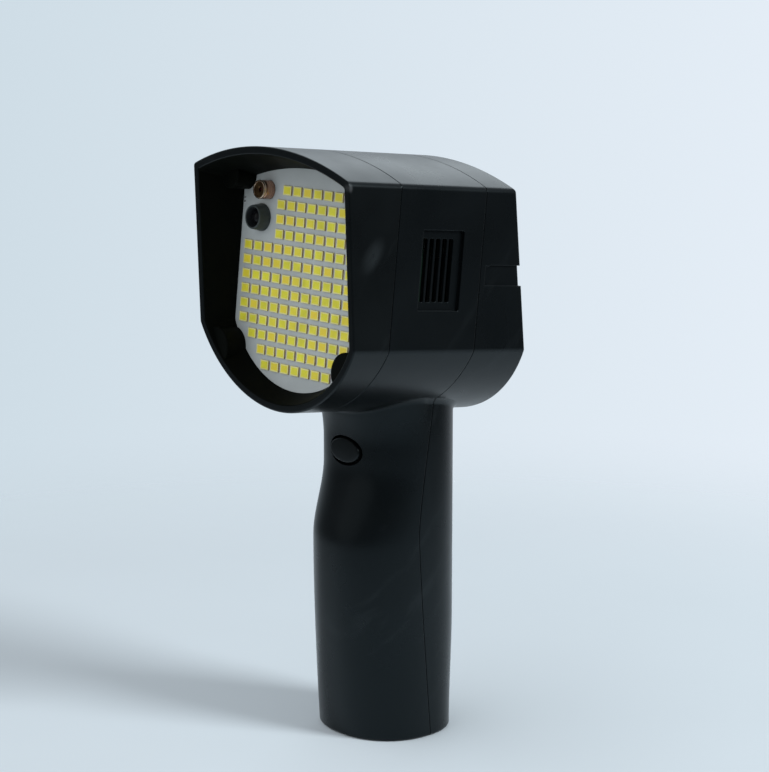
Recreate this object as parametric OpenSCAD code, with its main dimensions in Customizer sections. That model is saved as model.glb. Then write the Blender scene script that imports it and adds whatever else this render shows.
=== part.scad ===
// Handheld LED stroboscope that stands on its grip.
// Millimetres. The origin is the centre of the grip's base, +Z is up and the light leaves towards -Y.

/* [Head] */
// Width of the head across its flat sides
head_w = 76; // [70:1:84]
// Height of the top corners above the middle of the light board
side_top = 33.5; // [31:0.5:37]
// Rise of the crown above the top corners
crown_rise = 7.8; // [6:0.2:10]
// Depth of the lower corners below the middle of the light board
side_low = 16.7; // [15:0.1:19]
// Drop of the round belly below the lower corners
belly_drop = 23.6; // [21:0.2:26]
// Thickness of every moulded wall
wall = 2.4; // [2:0.1:2.8]
// Angle that the head looks up
head_pitch = 6; // [4:0.5:8]
// Depth of the hood in front of the lights, at the middle of the board
rim_depth = 11.3; // [10:0.1:14]
// Lean of the hood's rim, deeper at the top
rim_lean = 8; // [5:0.5:10]
// Seam between hood and front shell, behind the faces of the lights
hood_seam = 5; // [4.4:0.1:5.2]
// Seam between front and rear shell, behind the faces of the lights
rear_seam = 40; // [38:0.5:43]
// Outer face of the back, behind the faces of the lights, at the middle of the board
back_depth = 59.1; // [57:0.1:61]
// Lean of the back
back_lean = 10.8; // [9:0.2:12]
// Height of the middle of the light board above the base
board_height = 149.3; // [147:0.1:154]
// How far the middle of the light board lies in front of the grip's axis
board_reach = 33.9; // [32:0.1:36]

/* [Light board] */
// Inset of the hood's funnel where it meets the board
throat_inset = 6.2; // [5.6:0.1:7]
// Inset of the pocket that the board lies in
pocket_inset = 4.2; // [3.8:0.1:4.6]
// Thickness of the light board
board_t = 1.6; // [1:0.1:2]
// Length, height and width of one light
led_l = 3.5; // [3:0.1:3.8]
led_h = 0.5; // [0.4:0.05:0.8]
led_w = 2.8; // [2.4:0.1:3.2]
// Distance from the head's side to the middle of the first light of a full row
led_side = 10.5; // [10.2:0.1:12]
// Distance between rows
led_pitch_z = 4.62; // [4.2:0.02:4.7]
// Thickness of the heat sink's plate
sink_t = 3; // [2.8:0.1:4]
// Length of the heat sink's fins
fin_l = 11; // [8:0.5:13]
// Thickness of a fin
fin_t = 1.2; // [1:0.1:1.6]
// Number of fins
fin_count = 11; // [7:1:11]
// Gap between the outer fins and the standoffs beside them
fin_side_gap = 2.5; // [2:0.1:4]

/* [Pillars and screws] */
// Radius of the hood's upper pillars, and of the lower ones, which stand partly in its wall
pillar_r = 4.4; // [4:0.1:4.6]
low_pillar_r = 6.3; // [5.9:0.1:6.6]
// Inset of the lower pillars' axes from the head's outline
low_pillar_inset = 1.4; // [1.1:0.1:2]
// Length of a pillar in front of the board
pillar_l = 7; // [6:0.1:8]
// Inset of the pillars' screws from the head's outline
pillar_inset = 5.2; // [5.1:0.1:5.6]
// Distance from the head's sides to the lower and the upper screws
pillar_low_side = 9.2; // [8.6:0.2:9.4]
pillar_top_side = 7.4; // [7.2:0.2:8.4]
// Shank radius of the case screws
screw_r = 1.4; // [1.2:0.05:1.5]
// Head radius and height of the case screws
screw_head_r = 2.5; // [2.3:0.05:2.6]
screw_head_h = 2.1; // [1.6:0.1:2.4]
// Radius of the bosses that take the case screws
boss_r = 3.8; // [3.6:0.1:4]
// Thickness of the front shell's lugs
lug_t = 3; // [2.5:0.1:4]
// Heights of the upper and lower cover screws, from the middle of the board
cover_screw_top = 25; // [24.6:0.2:26]
cover_screw_low = -12; // [-13:0.2:-10]
// Height of the screws in the grip's foot, and their distance from the middle
foot_screw_z = 6.2; // [6:0.1:6.4]
foot_screw_x = 13.5; // [13.3:0.1:14]

/* [Laser and sensor] */
// Radius of the laser's barrel
barrel_r = 3; // [2.6:0.1:3.2]
// Length of the barrel in front of the lights
barrel_front = 3.8; // [3.2:0.1:4.5]
// Length of the barrel behind the faces of the lights
barrel_back = 12; // [9:0.5:14]
// Distances of the laser's axis from the head's left side, and below the top corners
laser_side = 18.6; // [18:0.2:19.4]
laser_drop = 6.3; // [5.9:0.1:6.8]
// Radius of the laser's lens
lens_r = 2; // [1.6:0.1:2.2]
// Outer and inner radius of the sensor's tube
tube_r = 3.9; // [3.6:0.1:4]
tube_bore = 2.7; // [2.5:0.1:2.9]
// Length of the tube in front of the lights
tube_front = 3.5; // [3.2:0.1:4.5]
// Distances of the sensor's axis from the head's left side, and below the top corners
sensor_side = 16; // [15.4:0.2:16.4]
sensor_drop = 15.2; // [14.7:0.1:15.7]

/* [Vents] */
// Front, length, bottom and height of the recess in each side
vent_front = 15; // [14:0.5:17]
vent_l = 17; // [15:0.5:18]
vent_low = -4.3; // [-6:0.1:-3]
vent_h = 24.7; // [22:0.1:25]
// Depth of the recess
vent_depth = 1.2; // [0.8:0.1:1.4]
// Number of slots
slot_count = 5; // [3:1:6]
// Width of a slot and distance between slots
slot_w = 1.5; // [1:0.1:1.8]
slot_pitch = 2.65; // [2.4:0.05:2.8]
// Margins of the slots in the recess: in front, below and above
slot_front = 1.4; // [1:0.1:1.6]
slot_margin = 2.6; // [2:0.1:4]
// Bottom, height and depth of the finger groove in each side of the rear shell
groove_low = 3.6; // [2:0.1:5]
groove_h = 6.4; // [5:0.1:8]
groove_depth = 1.3; // [0.8:0.1:1.6]

/* [Grip] */
// Half width of the grip
grip_half = 21.5; // [20.8:0.1:23]
// Depth of the grip behind its axis, at the base and above its foot
base_back = 19.6; // [19.2:0.1:20.6]
grip_back = 20.8; // [20.6:0.1:22]
// Height at which the grip's back reaches its full depth
back_z = 40; // [30:1:50]
// Depth of the grip in front of its axis: at the base, the bulge and the neck
base_front = 19.4; // [18.6:0.1:21]
bulge_front = 22.5; // [21.4:0.1:24]
neck_front = 16.4; // [16:0.1:17.4]
// How far the bulge and the neck lie below the middle of the light board
bulge_drop = 85.3; // [81:0.1:89]
neck_drop = 61.3; // [56:0.1:64]
// Squareness of the grip's section, 2 is an ellipse
grip_power = 2.2; // [2:0.05:2.4]
// Rounding of the base's edge
foot_r = 1.2; // [0.8:0.1:2.2]
// Thickness of the grip's floor
floor_t = 2.6; // [2.2:0.1:3]
// Fillet between grip and head
neck_fillet = 3; // [2:0.2:4]
// Parting line's apex: how far forward of the axis and below the middle of the light board
part_apex_y = -3.4; // [-5:0.2:-2.6]
part_apex_drop = 81.3; // [75:0.1:85]
// Parting line at the base, behind the grip's axis
part_base_y = 1.6; // [1:0.1:2]

/* [Trigger] */
// Width and height of the trigger button
trigger_w = 14.2; // [13:0.2:14.6]
trigger_h = 8.3; // [7.6:0.1:9]
// Gap round the trigger button
trigger_gap = 0.7; // [0.5:0.05:0.9]
// How far the trigger button lies below the middle of the light board
trigger_drop = 55.6; // [54:0.1:56.4]
// How far the button stands out of the grip
trigger_proud = 0.4; // [0.2:0.1:1]
// Travel of the trigger button
trigger_travel = 1.2; // [0.8:0.1:1.6]
// Rim that holds the button in, and its thickness
trigger_rim = 1.5; // [1.2:0.1:1.7]
trigger_rim_t = 1.2; // [1:0.1:1.4]
// Radius of the button's stem
stem_r = 1.8; // [1.4:0.1:2]
// Width, height and depth of the trigger switch
switch_w = 10; // [9:0.2:11]
switch_h = 10; // [9:0.2:11]
switch_d = 9; // [8:0.1:9.4]
// Distance between the switch board's screws
switch_screw_pitch = 20; // [19:0.5:21]

/* [Back panel] */
// Width, height and middle of the display's opening, from the middle of the back
display_w = 37; // [32:0.5:38]
display_h = 14; // [12:0.5:14.5]
display_z = 18; // [17:0.2:18.6]
// Border of the display's window
window_edge = 1.5; // [1.2:0.1:1.8]
// Thickness of the display's window
window_t = 1.5; // [1.2:0.1:1.6]
// Radius of the keys
key_r = 5; // [4.4:0.1:5.4]
// How far the keys stand out
key_proud = 1.2; // [0.8:0.1:1.6]
// Travel of the keys
key_travel = 0.8; // [0.5:0.1:1]
// Rim that holds a key in, and its thickness
key_rim = 1; // [0.8:0.1:1.2]
key_rim_t = 1.2; // [1:0.1:1.4]
// Heights of the upper and lower row of keys, from the middle of the back
key_row_high = -2; // [-3:0.2:-1.4]
key_row_low = -15.5; // [-16:0.2:-15]
// Distance between keys along a row
key_pitch = 17; // [15.5:0.2:18]
// Distance of the main board's face from the outer face of the back
main_board_depth = 10.4; // [10:0.1:11.4]

/* [Power] */
// Radius of a battery cell
cell_r = 9.2; // [8.8:0.1:9.25]
// Gap between the cells' cradle and the switch board above it
cradle_gap = 0.9; // [0.6:0.1:3]
// Radius of the charging socket's barrel and of its bore
socket_r = 4; // [3.6:0.1:4.2]
socket_bore = 2.75; // [2.5:0.05:2.8]
// Height of the charging socket
socket_z = 24; // [20:0.5:30]
// Outer radius, thread radius and length of the tripod insert
insert_r = 5.5; // [5:0.1:6]
insert_thread_r = 3.2; // [3.1:0.05:3.4]
insert_l = 9.5; // [8:0.1:10]
// Radius of the battery lead
lead_r = 1.5; // [1:0.1:1.8]

/* [Hidden] */

// Clearances: laid-in pieces, shanks in their holes, gaps beside what moves
fit = 0.2;
shank_fit = 0.05;
run_gap = 0.3;
// Overlap of a boss with the wall that carries it, and a length past every cut
bite = 1;
past = 60;
// Air in front of a screw's tip, and what is left in front of a blind hole
tip_gap = 0.4;
hole_cap = 1;
$fn = 96;

// Head outline: a crown arc, flat sides and a round belly
half_w = head_w / 2;
crown_r = (half_w * half_w + crown_rise * crown_rise) / (2 * crown_rise);
crown_z = side_top + crown_rise - crown_r;
belly_r = (half_w * half_w + belly_drop * belly_drop) / (2 * belly_drop);
belly_z = -side_low - belly_drop + belly_r;
belly_low = belly_z - belly_r;
crown_top = crown_z + crown_r;
rim_slope = tan(rim_lean);
crown_steps = 16;
belly_steps = 28;
mouth_over = 0.1;

// Stack behind the lights, from front to back in the head
board_front = led_h;
board_back = board_front + board_t;
sink_back = board_back + sink_t;
lug_back = sink_back + lug_t;
board_inset = pocket_inset + fit;
lens_in = 1.2;
lens_t = 1.2;
barrel_floor = 4;
sink_inset = board_inset + fit;
laser_x = laser_side - half_w;
laser_z = side_top - laser_drop;
sensor_x = sensor_side - half_w;
sensor_z = side_top - sensor_drop;

// Screws follow the outline at their inset, and the lower pillars lie further out than theirs
pillar_low_x = half_w - pillar_low_side;
pillar_low_z = belly_z - sqrt(pow(belly_r - pillar_inset, 2) - pow(pillar_low_x, 2));
pillar_top_x = half_w - pillar_top_side;
pillar_top_z = crown_z + sqrt(pow(crown_r - pillar_inset, 2) - pow(pillar_top_x, 2));
pillar_places = [
    [pillar_low_x, pillar_low_z], [-pillar_low_x, pillar_low_z],
    [pillar_top_x, pillar_top_z], [-pillar_top_x, pillar_top_z]
];
low_pillar_out = (belly_r - low_pillar_inset) / (belly_r - pillar_inset);
low_pillar_z = belly_z + (pillar_low_z - belly_z) * low_pillar_out;
screw_hole_r = screw_r + shank_fit;
pillar_cap = 2.1;
pillar_hole_front = pillar_cap - pillar_l;

// Lights: two half-stepped end rows and shortened rows round the sensors and the belly
led_columns = 12;
led_rows = 13;
led_pitch_x = 2 * (half_w - led_side) / (led_columns - 1);
function led_first(row) =
    row == 0 ? 3.5 : row <= 3 ? 3 : row <= 9 ? 0 : row == 10 ? 1 : row == 11 ? 2 : 2.5;
function led_last(row) =
    row == 0 ? 9.5 : row <= 9 ? 11 : row == 10 ? 10 : row == 11 ? 9 : 8.5;
led_places = [
    for (row = [0:led_rows - 1], column = [led_first(row):led_last(row)])
        [(column - (led_columns - 1) / 2) * led_pitch_x, ((led_rows - 1) / 2 - row) * led_pitch_z]
];

// Heat sink fins stay clear of the sensor's tube and of the pocket's edge
fin_gap = 2;
fin_edge_gap = 6;
fin_low = belly_low + pocket_inset + fin_edge_gap;
fin_high = sensor_z - tube_r - fin_gap;

// Driver board on standoffs behind the heat sink
standoff_r = 2.9;
fin_air = 6;
standoff_l = fin_l + fin_air;
standoff_stud = sink_t - tip_gap;
standoff_hole_l = 7;
driver_front = sink_back + standoff_l;
driver_back = driver_front + board_t;
driver_side = 9;
driver_half_w = half_w - driver_side;
driver_low = -20;
driver_high = 22;
driver_edge = 3;
standoff_x = driver_half_w - driver_edge;
standoff_low_in = 10;
standoff_high_in = 7;
standoff_low = driver_low + standoff_low_in;
standoff_high = driver_high - standoff_high_in;
standoff_places = [for (x = [-standoff_x, standoff_x], z = [standoff_low, standoff_high]) [x, z]];
fin_pitch = 2 * (standoff_x - standoff_r - fin_side_gap - fin_t / 2) / (fin_count - 1);
small_screw_r = 1.05;
small_head_r = 2;
small_head_h = 1.5;
cross_w = 0.6;
cross_depth = 0.8;
small_hole_r = small_screw_r + shank_fit;
capacitor_r = 5;
capacitor_l = 15;
score_w = 0.4;
capacitor_places = [[-16, -6], [-4, -6]];
coil_r = 6;
coil_l = 8;
coil_flange = 1.2;
coil_flange_t = 1.6;
coil_place = [14, 8];
plug_x = 7;
plug_z = -16;
plug_w = 6;
plug_l = 6;

// Cover screws through the rear shell into the front shell
boss_merge = 0.6;
cover_screw_x = half_w - wall + boss_merge - boss_r;
cover_places = [for (x = [-cover_screw_x, cover_screw_x], z = [cover_screw_low, cover_screw_top]) [x, z]];
cover_seat_depth = 6;
cover_boss_l = 12;
cover_seat = rear_seam + cover_seat_depth;
cover_boss_front = rear_seam - cover_boss_l;
cover_screw_l = 14;
groove_seam = 2;

// Back panel, in the back's own frame: +Y outward, Z along the face
window_w = display_w + 2 * window_edge;
window_h = display_h + 2 * window_edge;
main_board_side = 10.5;
main_board_half_w = half_w - main_board_side;
main_board_edge = 2.5;
main_post_r = 2.4;
main_post_x = main_board_half_w - main_board_edge;
lcd_margin = 3;
main_post_key_drop = 3;
main_post_low = key_row_low - main_post_key_drop;
main_post_high = display_z + display_h / 2 + lcd_margin + main_post_r + run_gap;
main_post_places = [for (x = [-main_post_x, main_post_x], z = [main_post_low, main_post_high]) [x, z]];
main_board_low = main_post_low - main_board_edge;
main_board_high = main_post_high + main_board_edge;
main_screw_in = 5;
window_sink = 0.1;
key_hole_r = key_r + run_gap;
key_rim_front = -wall - run_gap;
key_stem_r = 1.5;
key_switch_w = 6;
key_free = 1.7;
key_stem_in = 1;
key_well_free = 1.2;
key_switch_front = key_rim_front - key_rim_t - key_travel - key_free;
key_well_l = key_stem_in + key_travel + key_well_free;
key_stem_tip = key_switch_front - key_stem_in;
key_places = [
    [-key_pitch, key_row_high], [0, key_row_high], [key_pitch, key_row_high],
    [-key_pitch / 2, key_row_low], [key_pitch / 2, key_row_low]
];

// Grip section and height of the head's belly above it
bulge_z = board_height - bulge_drop;
neck_z = board_height - neck_drop;
part_apex_z = board_height - part_apex_drop;
trigger_z = board_height - trigger_drop;
grip_points = 44;
grip_flat_steps = 16;
edge_steps = 3;
fillet_steps = 4;
fillet_run = 2;
function ramp(t) = let (s = min(max(t, 0), 1)) s * s * (3 - 2 * s);
function rounded(v) = sign(v) * pow(abs(v), 2 / grip_power);
function grip_front(z) =
    z < bulge_z ? base_front + (bulge_front - base_front) * ramp(z / bulge_z)
    : bulge_front + (neck_front - bulge_front) * ramp((z - bulge_z) / (neck_z - bulge_z));
function grip_rear(z) = base_back + (grip_back - base_back) * ramp(z / back_z);
function grip_xy(angle, z, inset) =
    [
        (grip_half - inset) * rounded(cos(angle)),
        ((sin(angle) < 0 ? grip_front(z) : grip_rear(z)) - inset) * rounded(sin(angle))
    ];
function head_to_row(p) =
    [
        p[0],
        p[1] * cos(head_pitch) + p[2] * sin(head_pitch) - board_reach,
        -p[1] * sin(head_pitch) + p[2] * cos(head_pitch) + board_height
    ];
function belly_at(x, y) =
    let (
        z_head = belly_z - sqrt(belly_r * belly_r - x * x),
        y_head = (y + board_reach - z_head * sin(head_pitch)) / cos(head_pitch)
    )
    head_to_row([x, y_head, z_head])[2];
function flat_ring(z, inset) =
    [for (k = [0:grip_points - 1]) let (p = grip_xy(360 * k / grip_points, z, inset)) [p[0], p[1], z]];
function belly_ring(below, inset) =
    [
        for (k = [0:grip_points - 1])
            let (p = grip_xy(360 * k / grip_points, neck_z, inset))
            [p[0], p[1], belly_at(p[0], p[1]) - below]
    ];
belly_back_z = belly_at(0, grip_back);
neck_start = belly_back_z - neck_fillet - fillet_run;
function grip_step(low, k) = low + (neck_start - low) * k / grip_flat_steps;

// Neck plane in the head's frame: the case's head lies above it and its grip below
neck_stub = 1;
neck_cut = belly_low - neck_fillet - neck_stub;

// Parting line: a soft apex between the base and the rear seam of the head
part_join = head_to_row([0, rear_seam, belly_low]);
part_top = head_to_row([0, rear_seam, crown_top + past]);
part_steps = 12;
part_bend = 1.25;
function part_point(t, end_y, end_z) =
    [part_apex_y + (end_y - part_apex_y) * pow(t, part_bend), part_apex_z + (end_z - part_apex_z) * t];
part_line = concat(
    [[part_base_y, -past]],
    [for (k = [part_steps:-1:1]) part_point(k / part_steps, part_base_y, 0)],
    [for (k = [0:part_steps]) part_point(k / part_steps, part_join[1], part_join[2])],
    [[part_top[1], part_top[2]]]
);

// Trigger, switch and power pieces in the grip
trigger_hole_w = trigger_w + 2 * trigger_gap;
trigger_hole_h = trigger_h + 2 * trigger_gap;
trigger_face = -grip_front(trigger_z) - trigger_proud;
trigger_face_r = 34;
trigger_rim_gap = 1.4;
trigger_rim_front = -(grip_front(trigger_z) - wall) + trigger_rim_gap;
switch_free = 2.4;
stem_in = 1.4;
switch_front = trigger_rim_front + trigger_rim_t + trigger_travel + switch_free;
switch_back = switch_front + switch_d;
switch_board_t = 1.6;
switch_board_back = switch_back + switch_board_t;
switch_board_w = 13;
switch_board_edge = 3;
switch_board_h = switch_screw_pitch + 2 * switch_board_edge;
switch_well = stem_in + trigger_travel + switch_free;
switch_screw_l = 7;
switch_screw_places = [for (side = [-1, 1]) [0, trigger_z + side * switch_screw_pitch / 2]];
post_r = 2.6;
insert_flange = 0.8;
insert_flange_z = 3;
insert_flange_h = 3;
insert_boss_r = insert_r + insert_flange + wall;
cradle_t = 2;
strip_t = 0.3;
insert_cap = 1.5;
cradle_low = insert_l + insert_cap;
cell_low = cradle_low + cradle_t + strip_t;
cradle_high = trigger_z - switch_board_h / 2 - cradle_gap - cradle_t;
cell_high = cradle_high - strip_t;
cell_gap = 0.2;
cell_x = cell_r + cell_gap / 2;
cell_y = 1.5;
cradle_half_w = 15;
cradle_front = 10;
cradle_back = 11;
spine_w = 4;
spine_back = cell_y - sqrt(pow(cell_r, 2) - pow(cell_x - spine_w / 2, 2)) - run_gap - fit;
strip_half_w = 3;
strip_half_d = 3.5;
socket_flange = 1.4;
socket_flange_t = 1.4;
socket_flange_gap = 0.6;
socket_l = 8;
socket_floor = 1.5;
socket_back = grip_rear(socket_z) - fit;
socket_front = socket_back - socket_l;
socket_pin_r = 1;
socket_pin_in = 1;
foot_places = [[-foot_screw_x, foot_screw_z], [foot_screw_x, foot_screw_z]];
foot_seat = 8;
foot_screw_l = 15;

// Battery lead from the cradle up to the plug of the driver board
lead_sides = 8;
lead_steps = 5;
lead_x = 12;
lead_y = 8;
lead_straight = 6;
lead_side_step = 1;
lead_low = cradle_high + cradle_t;
lead_mid_rise = 7.5;
lead_drop = 33.3;
lead_mid = trigger_z + lead_mid_rise;
lead_high = board_height - lead_drop;
plug_end = head_to_row([plug_x, driver_back + plug_l, plug_z]);
plug_way = head_to_row([plug_x, driver_back + plug_l + lead_straight, plug_z]);
lead_route = [
    [lead_x, lead_y, lead_low], [lead_x, lead_y, lead_low + lead_straight],
    [lead_x + lead_side_step, lead_y, lead_mid], [lead_x, lead_y, lead_high], plug_way, plug_end
];
function lead_at(route, k, t) =
    let (
        last = len(route) - 1,
        a = route[max(k - 1, 0)], b = route[k], c = route[k + 1], d = route[min(k + 2, last)]
    )
    0.5 * (2 * b + (c - a) * t + (2 * a - 5 * b + 4 * c - d) * t * t + (3 * b - a - 3 * c + d) * t * t * t);
lead_line = concat(
    [for (k = [0:len(lead_route) - 2], s = [0:lead_steps - 1]) lead_at(lead_route, k, s / lead_steps)],
    [lead_route[len(lead_route) - 1]]
);
function unit(v) = v / norm(v);
function lead_ring(k) =
    let (
        last = len(lead_line) - 1,
        way = k == 0 ? [0, 0, 1] : k == last ? unit(plug_end - plug_way)
            : unit(lead_line[k + 1] - lead_line[k - 1]),
        side = unit(cross(way, [0.8, 0.6, 0.05])),
        up = cross(side, way)
    )
    [
        for (s = [0:lead_sides - 1])
            lead_line[k] + lead_r * (cos(360 * s / lead_sides) * side + sin(360 * s / lead_sides) * up)
    ];

// Colours
shell_black = [0.13, 0.14, 0.16];
hood_black = [0.10, 0.11, 0.12];
board_grey = [0.72, 0.74, 0.76];
light_yellow = [0.93, 0.85, 0.25];
aluminium = [0.75, 0.76, 0.78];
brass = [0.72, 0.52, 0.33];
board_green = [0.10, 0.32, 0.18];
steel = [0.62, 0.63, 0.65];
dark_grey = [0.25, 0.27, 0.28];
key_grey = [0.45, 0.47, 0.50];
lens_red = [0.75, 0.30, 0.25];
piece_black = [0.12, 0.12, 0.13];
can_blue = [0.16, 0.18, 0.32];
lcd_green = [0.55, 0.62, 0.52];
window_grey = [0.30, 0.34, 0.36];
cell_blue = [0.25, 0.45, 0.65];
nickel = [0.80, 0.80, 0.78];
lead_red = [0.55, 0.12, 0.10];

// Frames: the head looks up, the back leans forward
module in_head() {
    translate([0, -board_reach, board_height]) rotate([-head_pitch, 0, 0]) children();
}

module in_back() {
    in_head() translate([0, back_depth, 0]) rotate([back_lean, 0, 0]) children();
}

// An outline in X and Z, drawn out along Y from one depth to another
module along(from, to) {
    translate([0, to, 0]) rotate([90, 0, 0]) linear_extrude(to - from) children();
}

module rod(place, r, from, to) {
    along(from, to) translate(place) circle(r);
}

module bar(place, w, h, from, to) {
    along(from, to) translate([place[0] - w / 2, place[1] - h / 2]) square([w, h]);
}

module oval(w, h, place, from, to) {
    for (side = [-1, 1]) rod([place[0] + side * (w - h) / 2, place[1]], h / 2, from, to);
    bar(place, w - h, h, from, to);
}

module head_prism(inset, from, to) {
    intersection() {
        translate([-half_w + inset, from, -past]) cube([head_w - 2 * inset, to - from, 2 * past]);
        rod([0, crown_z], crown_r - inset, from, to);
        union() {
            rod([0, belly_z], belly_r - inset, from, to);
            translate([-head_w, from, belly_z]) cube([2 * head_w, to - from, 2 * past]);
        }
    }
}

// Everything in front of the leaning back, or behind the leaning rim
module ahead_of_back(inset) {
    translate([0, back_depth, 0]) rotate([back_lean, 0, 0])
        translate([-past, -2 * past - inset, -2 * past]) cube([2 * past, 2 * past, 4 * past]);
}

module behind_rim() {
    translate([0, -rim_depth, 0]) rotate([rim_lean, 0, 0])
        translate([-past, 0, -2 * past]) cube([2 * past, 2 * past, 4 * past]);
}

// Closed skin through rings that have the same number of points
module loft(rings) {
    count = len(rings[0]);
    top = (len(rings) - 1) * count;
    polyhedron(
        points = [for (ring = rings) for (p = ring) p],
        faces = concat(
            [for (k = [1:count - 2]) [0, k, k + 1]],
            [
                for (r = [0:len(rings) - 2], k = [0:count - 1])
                    let (a = r * count + k, b = r * count + (k + 1) % count)
                    each [[a, a + count, b], [b, a + count, b + count]]
            ],
            [for (k = [1:count - 2]) [top, top + k + 1, top + k]]
        )
    );
}

module grip_outer() {
    loft(concat(
        [
            for (k = [0:edge_steps])
                let (t = 90 * k / edge_steps)
                flat_ring(foot_r * (1 - cos(t)), foot_r * (1 - sin(t)))
        ],
        [for (k = [1:grip_flat_steps]) flat_ring(grip_step(foot_r, k), 0)],
        [
            for (k = [0:fillet_steps - 1])
                let (t = 90 * k / fillet_steps)
                belly_ring(neck_fillet * (1 - sin(t)), -neck_fillet * (1 - cos(t)))
        ],
        [belly_ring(-wall / 2, -neck_fillet)]
    ));
}

module grip_inner() {
    loft(concat(
        [for (k = [0:grip_flat_steps]) flat_ring(grip_step(floor_t, k), wall)],
        [belly_ring(-2 * wall, wall)]
    ));
}

module head_inner() {
    intersection() {
        head_prism(wall, hood_seam - bite, back_depth + past);
        ahead_of_back(wall);
    }
}

// Both shells in one, before they part
module case_skin() {
    difference() {
        union() {
            in_head() intersection() {
                head_prism(0, hood_seam, back_depth + past);
                ahead_of_back(0);
            }
            grip_outer();
        }
        in_head() head_inner();
        grip_inner();
    }
}

module part_side(far_y) {
    translate([past, 0, 0]) rotate([90, 0, -90])
        linear_extrude(2 * past)
            polygon(concat(
                [for (p = part_line) [-p[0], p[1]]],
                [[-far_y, part_top[2]], [-far_y, -past]]
            ));
}

module above_neck() {
    in_head() translate([-past, -past, neck_cut]) cube([2 * past, 4 * past, 4 * past]);
}

module below_neck() {
    in_head() translate([-past, -past, neck_cut - 4 * past]) cube([2 * past, 4 * past, 4 * past]);
}

// Bosses in the grip's foot: round the insert and round two screws
module foot_bosses() {
    intersection() {
        grip_outer();
        union() {
            cylinder(r = insert_boss_r, h = cradle_low);
            for (place = foot_places) rod(place, boss_r, -past, past);
        }
    }
}

module insert_room() {
    translate([0, 0, -bite]) cylinder(r = insert_r + shank_fit, h = insert_l + fit + bite);
    translate([0, 0, insert_flange_z - shank_fit])
        cylinder(r = insert_r + insert_flange + shank_fit, h = insert_flange_h + 2 * shank_fit);
}

module foot_screw_holes() {
    for (place = foot_places) {
        rod(place, screw_hole_r, foot_seat - foot_screw_l - tip_gap, foot_seat + bite);
        rod(place, screw_head_r + fit, foot_seat, past);
    }
}

module vent(side) {
    mirror([side < 0 ? 1 : 0, 0, 0]) {
        translate([half_w - vent_depth, vent_front, vent_low]) cube([past, vent_l, vent_h]);
        for (k = [0:slot_count - 1])
            translate([half_w - 2 * wall, vent_front + slot_front + k * slot_pitch, vent_low + slot_margin])
                cube([past, slot_w, vent_h - 2 * slot_margin]);
    }
}

// Front pieces of the head
module front_hood() {
    back = board_front + bite / 2;
    throat = [for (p = head_loop(throat_inset)) [p[0], back, p[1]]];
    mouth = [for (p = head_loop(wall)) [p[0], -rim_depth - rim_slope * p[1], p[1]]];
    ahead = [for (k = [0:len(mouth) - 1]) mouth[k] + mouth_over * (mouth[k] - throat[k])];
    color(hood_black) in_head() difference() {
        intersection() {
            head_prism(0, -rim_depth - past, hood_seam);
            behind_rim();
        }
        difference() {
            loft([throat, ahead]);
            for (side = [-1, 1]) {
                rod([side * pillar_top_x, pillar_top_z], pillar_r, -pillar_l, back + bite);
                rod([side * pillar_low_x * low_pillar_out, low_pillar_z], low_pillar_r,
                    -pillar_l, back + bite);
            }
        }
        head_prism(pocket_inset, board_front, hood_seam + bite);
        for (place = pillar_places) rod(place, screw_hole_r, pillar_hole_front, hood_seam);
    }
}

// Points round the head's outline at an inset, from the upper right corner over the crown
function arc_points(r, z, from, to, steps) =
    [for (k = [0:steps]) let (t = from + (to - from) * k / steps) [r * cos(t), z + r * sin(t)]];
function head_loop(inset) =
    let (
        crown_t = acos((half_w - inset) / (crown_r - inset)),
        belly_t = acos((half_w - inset) / (belly_r - inset))
    )
    concat(
        arc_points(crown_r - inset, crown_z, crown_t, 180 - crown_t, crown_steps),
        arc_points(belly_r - inset, belly_z, 180 + belly_t, 360 - belly_t, belly_steps)
    );

module led_board() {
    color(board_grey) in_head() difference() {
        head_prism(board_inset, board_front, board_back);
        rod([laser_x, laser_z], barrel_r + shank_fit, 0, sink_back);
        rod([sensor_x, sensor_z], tube_r + shank_fit, 0, sink_back);
        for (place = pillar_places) rod(place, screw_hole_r, 0, sink_back);
    }
}

module leds() {
    color(light_yellow) in_head()
        for (place = led_places) bar(place, led_l, led_w, 0, led_h);
}

module led_heatsink() {
    color(aluminium) in_head() difference() {
        union() {
            head_prism(sink_inset, board_back, sink_back);
            for (k = [0:fin_count - 1])
                bar([(k - (fin_count - 1) / 2) * fin_pitch, (fin_low + fin_high) / 2],
                    fin_t, fin_high - fin_low, sink_back - bite, sink_back + fin_l);
        }
        rod([laser_x, laser_z], barrel_r + shank_fit, 0, past);
        for (place = concat(pillar_places, standoff_places)) rod(place, screw_hole_r, 0, past);
    }
}

module laser_barrel() {
    color(brass) in_head() difference() {
        rod([laser_x, laser_z], barrel_r, -barrel_front, barrel_back);
        rod([laser_x, laser_z], lens_r, -barrel_front - bite, barrel_back - barrel_floor);
    }
}

module laser_lens() {
    color(lens_red) in_head()
        rod([laser_x, laser_z], lens_r, lens_in - barrel_front, lens_in + lens_t - barrel_front);
}

module sensor_tube() {
    color(dark_grey) in_head() difference() {
        rod([sensor_x, sensor_z], tube_r, -tube_front, board_back);
        rod([sensor_x, sensor_z], tube_bore, -tube_front - bite, board_back + bite);
    }
}

// A domed sensor that sits on the heat sink inside the tube
module photo_sensor() {
    dome_r = tube_bore - run_gap;
    color(piece_black) in_head() {
        rod([sensor_x, sensor_z], dome_r, 0, board_back);
        translate([sensor_x, -run_gap, sensor_z]) sphere(dome_r);
    }
}

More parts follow.
